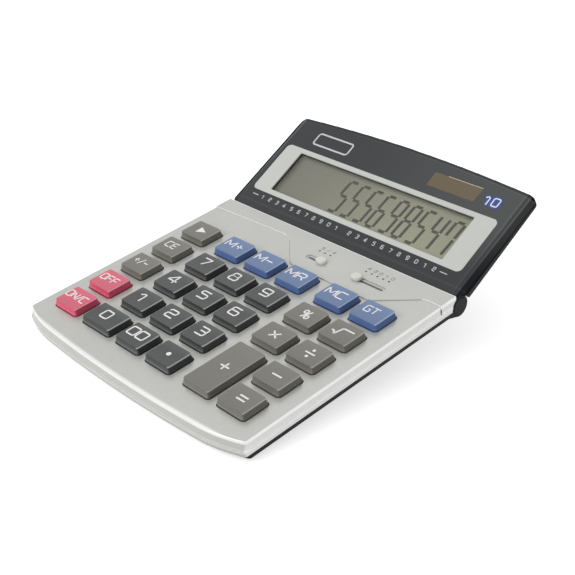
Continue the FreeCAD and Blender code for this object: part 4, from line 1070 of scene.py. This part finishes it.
def stroke_tree() -> Tree:
    """Geometry tree that draws flat strokes of even width along edges, with rounded corners.

    Returns:
        The tree.
    """
    tree, start, end = new_tree("printed_strokes", {
        "Geometry": "NodeSocketGeometry", "Stroke Width": "NodeSocketFloat", "Film": "NodeSocketFloat",
        "Corner Radius": "NodeSocketFloat", "Finish": "NodeSocketMaterial"})
    pen = start.outputs
    line = add_node(tree, "GeometryNodeMeshToCurve", None, {"Mesh": pen["Geometry"]}).outputs["Curve"]
    line = add_node(tree, "GeometryNodeFilletCurve", {"mode": "POLY"},
                    {"Curve": line, "Count": 5, "Radius": pen["Corner Radius"], "Limit Radius": True}).outputs["Curve"]
    line = add_node(tree, "GeometryNodeSetCurveNormal", {"mode": "Z_UP"}, {"Curve": line}).outputs["Curve"]
    nib = add_node(tree, "GeometryNodeCurvePrimitiveQuadrilateral", None,
                   {"Width": pen["Stroke Width"], "Height": pen["Film"]}).outputs["Curve"]
    drawn = add_node(tree, "GeometryNodeCurveToMesh", None, {"Curve": line, "Profile Curve": nib, "Fill Caps": True})
    return close_tree(tree, drawn.outputs["Mesh"], pen["Finish"], end)


def row_tree() -> Tree:
    """Geometry tree that repeats a small bar at an even pitch along X, centred on the origin.

    Returns:
        The tree.
    """
    tree, start, end = new_tree("row_of_bars", {
        "Geometry": "NodeSocketGeometry", "Count": "NodeSocketInt", "Pitch": "NodeSocketFloat",
        "Bar Width": "NodeSocketFloat", "Bar Length": "NodeSocketFloat", "Film": "NodeSocketFloat",
        "Finish": "NodeSocketMaterial"})
    row = start.outputs
    half = (Signal(row["Count"]) - 1.0) * Signal(row["Pitch"]) * -0.5
    first = add_node(tree, "ShaderNodeCombineXYZ", None, {"X": half}).outputs["Vector"]
    step = add_node(tree, "ShaderNodeCombineXYZ", None, {"X": row["Pitch"]}).outputs["Vector"]
    points = add_node(tree, "GeometryNodeMeshLine", {"mode": "OFFSET"},
                      {"Count": row["Count"], "Start Location": first, "Offset": step}).outputs["Mesh"]
    size = add_node(tree, "ShaderNodeCombineXYZ", None,
                    {"X": row["Bar Width"], "Y": row["Bar Length"], "Z": row["Film"]}).outputs["Vector"]
    bar = add_node(tree, "GeometryNodeMeshCube", None, {"Size": size}).outputs["Mesh"]
    placed = add_node(tree, "GeometryNodeInstanceOnPoints", None, {"Points": points, "Instance": bar})
    return close_tree(tree, placed.outputs["Instances"], row["Finish"], end)


# Pen paths on a grid 4 wide and 6 high. A path that ends in z is closed.
GLYPH_WIDTH = 4.0
GLYPH_MIDDLE = 3.0
SLASH_WIDTH = 2.2
GLYPHS = {
    "0": "0,0 4,0 4,6 0,6 z",
    "1": "0,4.3 2.5,6.4 2.5,-0.7",
    "2": "0,4.6 0,6 4,6 4,3.1 0,3.1 0,0 4.1,0",
    "3": "0,6 4,6 4,0 0,0; 1,3.1 3.9,3.1",
    "4": "3.1,-0.4 3.1,6.5; 3.1,6.5 -0.4,1.6; -0.4,1.6 4.5,1.6",
    "5": "4,6 0,6 0,3.5 4,3.5 4,0 0,0",
    "6": "3.8,6 0,6 0,0 4,0 4,3.4 0,3.4",
    "7": "0,6 4,6; 4,6 1.6,0",
    "8": "0.4,3.2 3.6,3.2 3.6,6 0.4,6 z; 0,0 4,0 4,3.2 0,3.2 z",
    "9": "0.2,0 4,0 4,6 0,6 0,2.6 4,2.6",
    "+": "0.3,3 3.7,3; 2,0.9 2,5.1",
    "-": "0.2,3 3.8,3",
    "x": "0.6,1.3 3.4,4.7; 0.6,4.7 3.4,1.3",
    ":": "0.2,3 3.8,3",
    "=": "0.4,4.1 3.6,4.1; 0.4,2.1 3.6,2.1",
    "%": "0,3.4 1.7,3.4 1.7,6 0,6 z; 2.4,0 4.1,0 4.1,2.6 2.4,2.6 z; 0.7,0 3.4,6",
    "v": "0,2.2 0.9,2.2; 0.9,2.2 1.7,0.4; 1.7,0.4 2.6,5.2; 2.6,5.2 6.6,5.2",
    "/": "0,-0.3 2.2,6.3",
    "C": "4,6 0,6 0,0 4,0",
    "E": "4,6 0,6 0,0 4,0; 0,3 3.5,3",
    "F": "4,6 0,6 0,0; 0,3 3.4,3",
    "G": "4,6 0,6 0,0 4,0 4,2.9 2.3,2.9",
    "M": "0,0 0,6; 0,6 2.4,1.4; 2.4,1.4 4.8,6; 4.8,6 4.8,0",
    "N": "0,0 0,6; 0,6 4,0; 4,0 4,6",
    "O": "0,0 4,0 4,6 0,6 z",
    "R": "0,0 0,6 4,6 4,2.8 0,2.8; 2.4,2.8 4.1,0",
    "T": "-0.2,6 4.2,6; 2,6 2,0",
}
# Filled shapes on the same grid: dots by centre and radius, and the arrow as corners.
DOTS = {".": [(2.0, 3.0)], ":": [(2.0, 5.1), (2.0, 0.9)]}
ARROW = ((0.6, 0.8), (4.0, 3.0), (0.6, 5.2))


def pen_paths(glyph: str) -> list[Stroke]:
    """Read a glyph's pen paths.

    Args:
        glyph: One character.

    Returns:
        Points and whether the path is closed, for each path.
    """
    paths = []
    for part in filter(None, GLYPHS.get(glyph, "").split(";")):
        marks = part.split()
        closed = marks[-1] == "z"
        paths.append(([tuple(map(float, mark.split(","))) for mark in marks if mark != "z"], closed))
    return paths


class Printer:
    """Draws thin printed films with the two geometry trees."""

    film = 0.05 * MM
    # A film's middle lies this far above the face, so that its lower side sinks in.
    lift = 0.3 * film

    def __init__(self) -> None:
        """Build both trees once."""
        self.strokes = stroke_tree()
        self.rows = row_tree()

    def lines(self, paths: list[Stroke], width: float, corner: float, finish: Finish) -> Mesh:
        """Draw strokes along paths.

        Args:
            paths: Points in metres and whether each path is closed.
            width: Width of a stroke, in millimetres.
            corner: Radius of its corners, in millimetres.
            finish: What it is printed in.

        Returns:
            The film's mesh.
        """
        points: list[tuple[float, float, float]] = []
        edges: list[tuple[int, int]] = []
        for path, closed in paths:
            first = len(points)
            points += [(x, y, 0.0) for x, y in path]
            edges += [(first + i, first + i + 1) for i in range(len(path) - 1)]
            if closed:
                edges.append((first + len(path) - 1, first))
        guide = bpy.data.meshes.new("guide")
        guide.from_pydata(points, edges, [])
        return evaluated(guide, self.strokes, {"Stroke Width": width * MM, "Film": self.film,
                                               "Corner Radius": corner * MM, "Finish": finish.material()})

    def row(self, count: int, pitch: float, width: float, length: float, finish: Finish) -> Mesh:
        """Draw a row of bars.

        Args:
            count: Number of bars.
            pitch: From one to the next, in millimetres.
            width: Along the row, in millimetres.
            length: Across the row, in millimetres.
            finish: What it is printed in.

        Returns:
            The film's mesh.
        """
        return evaluated(bpy.data.meshes.new("guide"), self.rows,
                         {"Count": count, "Pitch": pitch * MM, "Bar Width": width * MM, "Bar Length": length * MM,
                          "Film": self.film, "Finish": finish.material()})

    def filled(self, mesh: Mesh, outlines: list[list[Point]], finish: Finish) -> Mesh:
        """Add filled flat shapes to a film.

        Args:
            mesh: The film that they join.
            outlines: Corners of each shape, in metres, anticlockwise.
            finish: What it is printed in.

        Returns:
            The same mesh.
        """
        shape = bmesh.new()
        shape.from_mesh(mesh)
        half = self.film / 2
        for corners in outlines:
            low = [shape.verts.new((x, y, -half)) for x, y in corners]
            high = [shape.verts.new((x, y, half)) for x, y in corners]
            shape.faces.new(high)
            shape.faces.new(low[::-1])
            for i in range(len(corners)):
                j = (i + 1) % len(corners)
                shape.faces.new((low[i], low[j], high[j], high[i]))
        shape.to_mesh(mesh)
        shape.free()
        if not mesh.materials:
            mesh.materials.append(finish.material())
        return mesh


def disc(x: float, y: float, radius: float, sides: int = 20) -> list[Point]:
    """Corners of a small round spot, anticlockwise."""
    turns = [2 * math.pi * i / sides for i in range(sides)]
    return [(x + radius * math.cos(a), y + radius * math.sin(a)) for a in turns]


@dataclass
class Lettering:
    """Size and weight of a line of printed characters, in millimetres."""

    unit_x: float
    unit_y: float
    gap: float
    weight: float = 0.55
    corner: float = 0.9
    # Radius of a dot against the weight: alone, and in a sign with strokes.
    full_dot: float = 1.3
    small_dot: float = 0.85

    def draw(self, printer: "Printer", words: str, finish: Finish) -> Mesh:
        """Draw a word centred on the origin.

        Args:
            printer: What draws it.
            words: The characters.
            finish: What it is printed in.

        Returns:
            The film's mesh.
        """
        paths: list[Stroke] = []
        shapes: list[list[Point]] = []
        x = 0.0
        for glyph in words:
            strokes = pen_paths(glyph)
            wide = max([GLYPH_WIDTH] + [point[0] for path, _ in strokes for point in path])
            if glyph == "/":
                wide = SLASH_WIDTH
            for path, closed in strokes:
                paths.append((self.scaled(path, x), closed))
            radius = self.weight * (self.full_dot if glyph == "." else self.small_dot)
            shapes += [disc(*dot, radius) for dot in self.scaled(DOTS.get(glyph, []), x)]
            if glyph == ">":
                shapes.append(self.scaled(ARROW, x))
            x += wide * self.unit_x + self.gap
        middle = (x - self.gap) / 2, GLYPH_MIDDLE * self.unit_y

        def centred(points: list[Point]) -> list[Point]:
            """Move points so that the word's middle is the origin, in metres."""
            return [((px - middle[0]) * MM, (py - middle[1]) * MM) for px, py in points]

        film = bpy.data.meshes.new("film")
        if paths:
            film = printer.lines([(centred(path), closed) for path, closed in paths], self.weight, self.corner, finish)
        return printer.filled(film, [centred(shape) for shape in shapes], finish)

    def scaled(self, points: list[Point], start: float) -> list[Point]:
        """Turn points of the pen grid into millimetres, to the right of a start."""
        return [(start + x * self.unit_x, y * self.unit_y) for x, y in points]


@dataclass
class Keypad:
    """The 29 keys with their printed legends."""

    digits: Lettering = field(default_factory=lambda: Lettering(1.2, 0.83, 1.0, 0.8))
    signs: Lettering = field(default_factory=lambda: Lettering(1.45, 1.05, 0.9, 0.85))
    letters: Lettering = field(default_factory=lambda: Lettering(0.74, 0.66, 0.85, 0.64, 0.7))
    percent: Lettering = field(default_factory=lambda: Lettering(1.05, 0.85, 0.9, 0.85))
    wide: Lettering = field(default_factory=lambda: Lettering(1.05, 0.74, 1.0, 0.74, 0.9))
    # Middle of a legend from the middle of its key: words and digits, then signs.
    shift: Point = (-0.7, 0.9)
    sign_shift: Point = (0.5, 0.0)

    legends = {
        "on": "ON/C", "off": "OFF", "plus_minus": "+/-", "ce": "CE", "backspace": ">", "m_plus": "M+", "m_minus": "M-",
        "mr": "MR", "mc": "MC", "gt": "GT", "point": ".", "plus": "+", "minus": "-", "times": "x", "divide": ":",
        "equals": "=", "percent": "%", "sqrt": "v", "0": "0", "00": "00", "1": "1", "2": "2", "3": "3", "4": "4",
        "5": "5", "6": "6", "7": "7", "8": "8", "9": "9",
    }

    def build(self, printer: Printer, places: Places) -> None:
        """Print each key's legend on its top.

        Args:
            printer: What draws the legends.
            places: The flat frames.
        """
        for key, words in self.legends.items():
            low, high = places.box("key_" + key, places.deck)
            style = self.style(words)
            shift = self.sign_shift if style.weight == self.signs.weight else self.shift
            spot = ((low.x + high.x) / 2 + shift[0] * MM, (low.y + high.y) / 2 + shift[1] * MM, high.z + printer.lift)
            place_piece("legend_" + key, style.draw(printer, words, WHITE_INK), places.deck, spot,
                        "key_" + key + "_body")

    def style(self, words: str) -> Lettering:
        """Lettering for a legend: digits, signs, capitals, or the wider capitals of the memory keys.

        Args:
            words: The legend.

        Returns:
            Its lettering.
        """
        if words.isdigit():
            return self.digits
        if words[0] == "M":
            return self.wide
        if words[0].isupper() or words == "+/-":
            return self.letters
        return self.percent if words == "%" else self.signs


@dataclass
class DisplayFace:
    """What is printed and fitted on the display's face."""

    # Digits in the liquid crystal: right end, pitch, width, lower and upper segment, lean, and stroke.
    digits: str = "555698547"
    digit_right: float = 50.6
    digit_pitch: float = 8.06
    digit_width: float = 4.7
    digit_low: float = 16.2
    digit_high: float = 34.6
    digit_waist: float = 0.4
    digit_lean: float = 0.055
    segment: float = 1.5
    segment_cut: float = 0.35
    # Row of small digits below the window, in two runs, with a dash at each end.
    row_line: float = 8.4
    row: Lettering = field(default_factory=lambda: Lettering(0.33, 0.317, 3.72, 0.38, 0.3))
    runs: tuple[tuple[str, float, str], ...] = (("left", -30.8, "12345678901"), ("right", 28.1, "23456789012"))
    dashes: Span = (-61.5, 58.6)
    dash: tuple[float, float] = (4.0, 0.4)
    # Bare badge: left, right, low and high, then stroke and corner.
    badge: tuple[float, float, float, float] = (-54.0, -30.9, 46.1, 53.0)
    badge_stroke: float = 0.95
    badge_corner: float = 1.4
    # Plain number at the right: a broad blue stroke with a fine white one over it.
    number: str = "10"
    count: Lettering = field(default_factory=lambda: Lettering(0.82, 0.72, 1.0, 0.62, 0.8))
    count_middle: Point = (55.6, 49.2)
    count_strokes: tuple[tuple[str, float, Ink], ...] = (("shade", 2.3, BLUE_INK), ("core", 0.6, WHITE_INK))
    # Painted highlight along the edge over the solar cell: share of the cell's width, place of its middle along it,
    # width, drop.
    solar_share: float = 0.72
    solar_middle: float = 0.64
    solar_edge: float = 0.3
    solar_drop: float = 0.2

    # Segments that each digit shows: top, upper right, lower right, bottom, lower left, upper left, middle.
    segments = {"4": "bcfg", "5": "acdfg", "6": "acdefg", "7": "abcf", "8": "abcdefg", "9": "abcdfg"}

    def build(self, printer: Printer, places: Places) -> None:
        """Make the digits, the row of marks, the plain number, the bare badge and the painted highlight along the edge
        over the solar cell.

        Args:
            printer: What draws them.
            places: The flat frames.
        """
        face = places.box("bezel_plate", places.display)[1].z + printer.lift
        glass = places.box("lcd_glass", places.display)[1].z + printer.lift
        low, high = places.box("solar_window", places.display)
        left, right = self.dashes
        row, count = self.row_line * MM, [v * MM for v in self.count_middle]
        pieces = [("lcd_segments", self._digits(printer), (0.0, 0.0, glass))]
        pieces += [("digit_row_" + side, self.row.draw(printer, words, SILVER_INK), (x * MM, row, face))
                   for side, x, words in self.runs]
        pieces.append(("row_dashes", printer.row(2, right - left, *self.dash, SILVER_INK),
                       ((left + right) / 2 * MM, row, face)))
        pieces += [("number_" + name, replace(self.count, weight=weight).draw(printer, self.number, ink),
                    (*count, face + layer * printer.film))
                   for layer, (name, weight, ink) in enumerate(self.count_strokes)]
        pieces.append(("badge_outline", self._badge(printer), (0.0, 0.0, face)))
        edge = printer.row(1, 1.0, self.solar_share * (high.x - low.x) / MM, self.solar_edge, EDGE_HIGHLIGHT_FILM)
        pieces.append(("solar_edge_line", edge, ((1 - self.solar_middle) * low.x + self.solar_middle * high.x,
                                                 high.y - self.solar_drop * MM, face)))
        for name, mesh, spot in pieces:
            place_piece(name, mesh, places.display, spot, Shell.DISPLAY.value)

    def _digits(self, printer: Printer) -> Mesh:
        """Seven-segment digits, leaning a little to the right.

        Args:
            printer: What draws them.

        Returns:
            The film's mesh.
        """
        high, low, wide = self.digit_high, self.digit_low, self.digit_width
        middle = (high + low) / 2 + self.digit_waist
        cut = self.segment_cut * self.segment
        ends = {
            "a": ((cut, high), (wide - cut, high)), "g": ((cut, middle), (wide - cut, middle)),
            "d": ((cut, low), (wide - cut, low)), "b": ((wide, high - cut), (wide, middle + cut)),
            "c": ((wide, middle - cut), (wide, low + cut)), "f": ((0.0, high - cut), (0.0, middle + cut)),
            "e": ((0.0, middle - cut), (0.0, low + cut)),
        }
        paths: list[Stroke] = []
        for i, digit in enumerate(reversed(self.digits)):
            left = self.digit_right - wide - i * self.digit_pitch
            for name in self.segments[digit]:
                path = [((left + x + self.digit_lean * (y - middle)) * MM, y * MM) for x, y in ends[name]]
                paths.append((path, False))
        return printer.lines(paths, self.segment, 0.0, SEGMENT_INK)

    def _badge(self, printer: Printer) -> Mesh:
        """A bare badge: a rounded outline in silver ink.

        Args:
            printer: What draws it.

        Returns:
            The film's mesh.
        """
        left, right, low, high = [v * MM for v in self.badge]
        ring: list[Stroke] = [([(left, low), (right, low), (right, high), (left, high)], True)]
        return printer.lines(ring, self.badge_stroke, self.badge_corner, SILVER_INK)


@dataclass
class SwitchMarks:
    """Printed scales behind the two slide switches."""

    pitch: float = 3.37
    # Middle and marks of each scale.
    scales: tuple[tuple[str, float, str], ...] = (("rounding", 3.4, "5/4"), ("decimal", 35.5, "43210"))
    dot_line: float = -11.5
    dot_radius: float = 0.5
    word_line: float = -8.9
    small: Lettering = field(default_factory=lambda: Lettering(0.34, 0.28, 0.4, 0.26, 0.25))

    def build(self, printer: Printer, places: Places) -> None:
        """Print a dot for each position, and a plain mark behind it.

        Args:
            printer: What draws them.
            places: The flat frames.
        """
        top = places.box("rear_cover", places.deck)[1].z + printer.lift
        for name, centre, words in self.scales:
            middles = [(centre + (i - (len(words) - 1) / 2) * self.pitch) * MM for i in range(len(words))]
            dots = printer.filled(bpy.data.meshes.new("film"),
                                  [disc(x, self.dot_line * MM, self.dot_radius * MM) for x in middles], GREY_INK)
            place_piece("dots_" + name, dots, places.deck, (0.0, 0.0, top), Shell.BASE.value)
            for i, (x, glyph) in enumerate(zip(middles, words)):
                place_piece(f"mark_{name}_{i}", self.small.draw(printer, glyph, PALE_INK), places.deck,
                            (x, self.word_line * MM, top), Shell.BASE.value)


class Solids:
    """The CAD pieces that stay as they are and get their finish."""

    tall_key = "key_plus"

    def dress(self, places: Places) -> None:
        """Give each CAD node the finish of its slot in the record.

        Args:
            places: The flat frames.
        """
        slots = {part["node"]: part["material_slot"] for part in frame["record"]["subparts"]}
        slots[self.tall_key] += "_tall"
        dressed = finishes(places)
        for node, piece in frame["nodes"].items():
            piece.data.materials.clear()
            piece.data.materials.append(dressed[slots[node]].material())
            log.info("piece %s in %s", node, piece.data.materials[0].name)


@dataclass
class Studio:
    """Plain studio: pale floor, even sky, soft lamps, and the camera at the photograph's view."""

    camera_place: tuple[float, float, float] = (328.101, -302.118, 246.740)
    camera_turn: tuple[float, float, float] = (62.807, -0.121, 46.848)
    focal_pixels: float = 1132.64
    image_pixels: float = 575.0
    sensor: float = 36.0
    sky: float = 0.6
    # Each lamp's place in metres and its power in watts, and the side of its square in metres.
    lamps: tuple[tuple[str, tuple[float, float, float], float], ...] = (
        ("key_lamp", (-0.3, -0.95, 0.6), 4.9), ("sheen_lamp", (-0.55, 0.45, 0.9), 0.5),
        ("side_lamp", (0.95, -0.2, 0.35), 0.3))
    lamp_side: float = 0.6
    floor_reach: float = 6.0
    floor_colour: str = "#f4f4f4"
    floor_glow: float = 0.6

    def build(self) -> None:
        """Make the camera, the world, the lamps and the floor."""
        scene = bpy.context.scene
        scene.view_settings.view_transform = "Standard"
        self._camera(scene)
        self._world(scene)
        for name, place, power in self.lamps:
            self._lamp(scene, name, place, power)
        self._floor(scene)

    def _camera(self, scene: bpy.types.Scene) -> None:
        """Make the camera with the photograph's place, turn and field of view.

        Args:
            scene: The scene that looks through it.
        """
        data = bpy.data.cameras.new("photo_view")
        data.sensor_width = self.sensor
        data.lens = self.sensor * self.focal_pixels / self.image_pixels
        data.clip_start = 0.01
        camera = bpy.data.objects.new("photo_view", data)
        turn = Euler([math.radians(angle) for angle in self.camera_turn])
        camera.matrix_world = Matrix.Translation(Vector(self.camera_place) * MM) @ turn.to_matrix().to_4x4()
        scene.collection.objects.link(camera)
        scene.camera = camera

    def _world(self, scene: bpy.types.Scene) -> None:
        """Make an even sky that lights the part and is seen as plain white.

        Args:
            scene: The scene that it lights.
        """
        world = bpy.data.worlds.new("studio_sky")
        world.use_nodes = True
        scene.world = world
        feed(world.node_tree.nodes["Background"],
             {"Color": (1.0, 1.0, 1.0, 1.0),
              "Strength": self._seen(world.node_tree).spread(self.sky, 1.0, 0.0, 1.0)})

    @staticmethod
    def _seen(tree: Tree) -> Signal:
        """Share that is 1 for the rays that show the background.

        Args:
            tree: The tree that gets it.

        Returns:
            The share, from the camera, transmission and glossy rays.
        """
        rays = add_node(tree, "ShaderNodeLightPath").outputs
        camera, through, gloss = [Signal(rays[f"Is {ray} Ray"]) for ray in ("Camera", "Transmission", "Glossy")]
        return camera | through | gloss

    def _lamp(self, scene: bpy.types.Scene, name: str, place: tuple[float, float, float], power: float) -> None:
        """Make a soft square lamp that looks at the middle of the part.

        Args:
            scene: The scene that it lights.
            name: The lamp's name.
            place: Where it stands, in metres.
            power: Its power, in watts.
        """
        data = bpy.data.lights.new(name, "AREA")
        data.shape = "SQUARE"
        data.size = self.lamp_side
        data.energy = power
        lamp = bpy.data.objects.new(name, data)
        lamp.location = place
        lamp.rotation_euler = (-Vector(place)).to_track_quat("-Z", "Y").to_euler()
        scene.collection.objects.link(lamp)

    def _floor(self, scene: bpy.types.Scene) -> None:
        """Make a pale floor that keeps the part's shadow and glows only where it is seen.

        Args:
            scene: The scene that it lies in.
        """
        mesh = bpy.data.meshes.new("floor")
        reach = self.floor_reach
        mesh.from_pydata([(-reach, -reach, 0), (reach, -reach, 0), (reach, reach, 0), (-reach, reach, 0)], [],
                         [(0, 1, 2, 3)])
        floor = bpy.data.objects.new("floor", mesh)
        scene.collection.objects.link(floor)
        surface = Surface("pale_floor")
        tree = surface.tree
        feed(surface.shader, {"Base Color": linear(self.floor_colour), "Roughness": 0.9, "Specular IOR Level": 0.0})
        dark, glow = [add_node(tree, "ShaderNodeEmission", None, {"Strength": strength}).outputs["Emission"]
                      for strength in (0.0, self.floor_glow)]
        lit = add_node(tree, "ShaderNodeMixShader", None, {0: self._seen(tree), 1: dark, 2: glow})
        both = add_node(tree, "ShaderNodeAddShader", None,
                        {0: surface.shader.outputs["BSDF"], 1: lit.outputs["Shader"]})
        feed(tree.nodes["Material Output"], {"Surface": both.outputs["Shader"]})
        mesh.materials.append(surface.material)


def main() -> None:
    """Build every sub-assembly."""
    logging.basicConfig(level=logging.INFO, format="%(name)s: %(message)s")
    places = Places()
    printer = Printer()
    Solids().dress(places)
    Keypad().build(printer, places)
    DisplayFace().build(printer, places)
    SwitchMarks().build(printer, places)
    Studio().build()


if __name__ == "__main__":
    main()
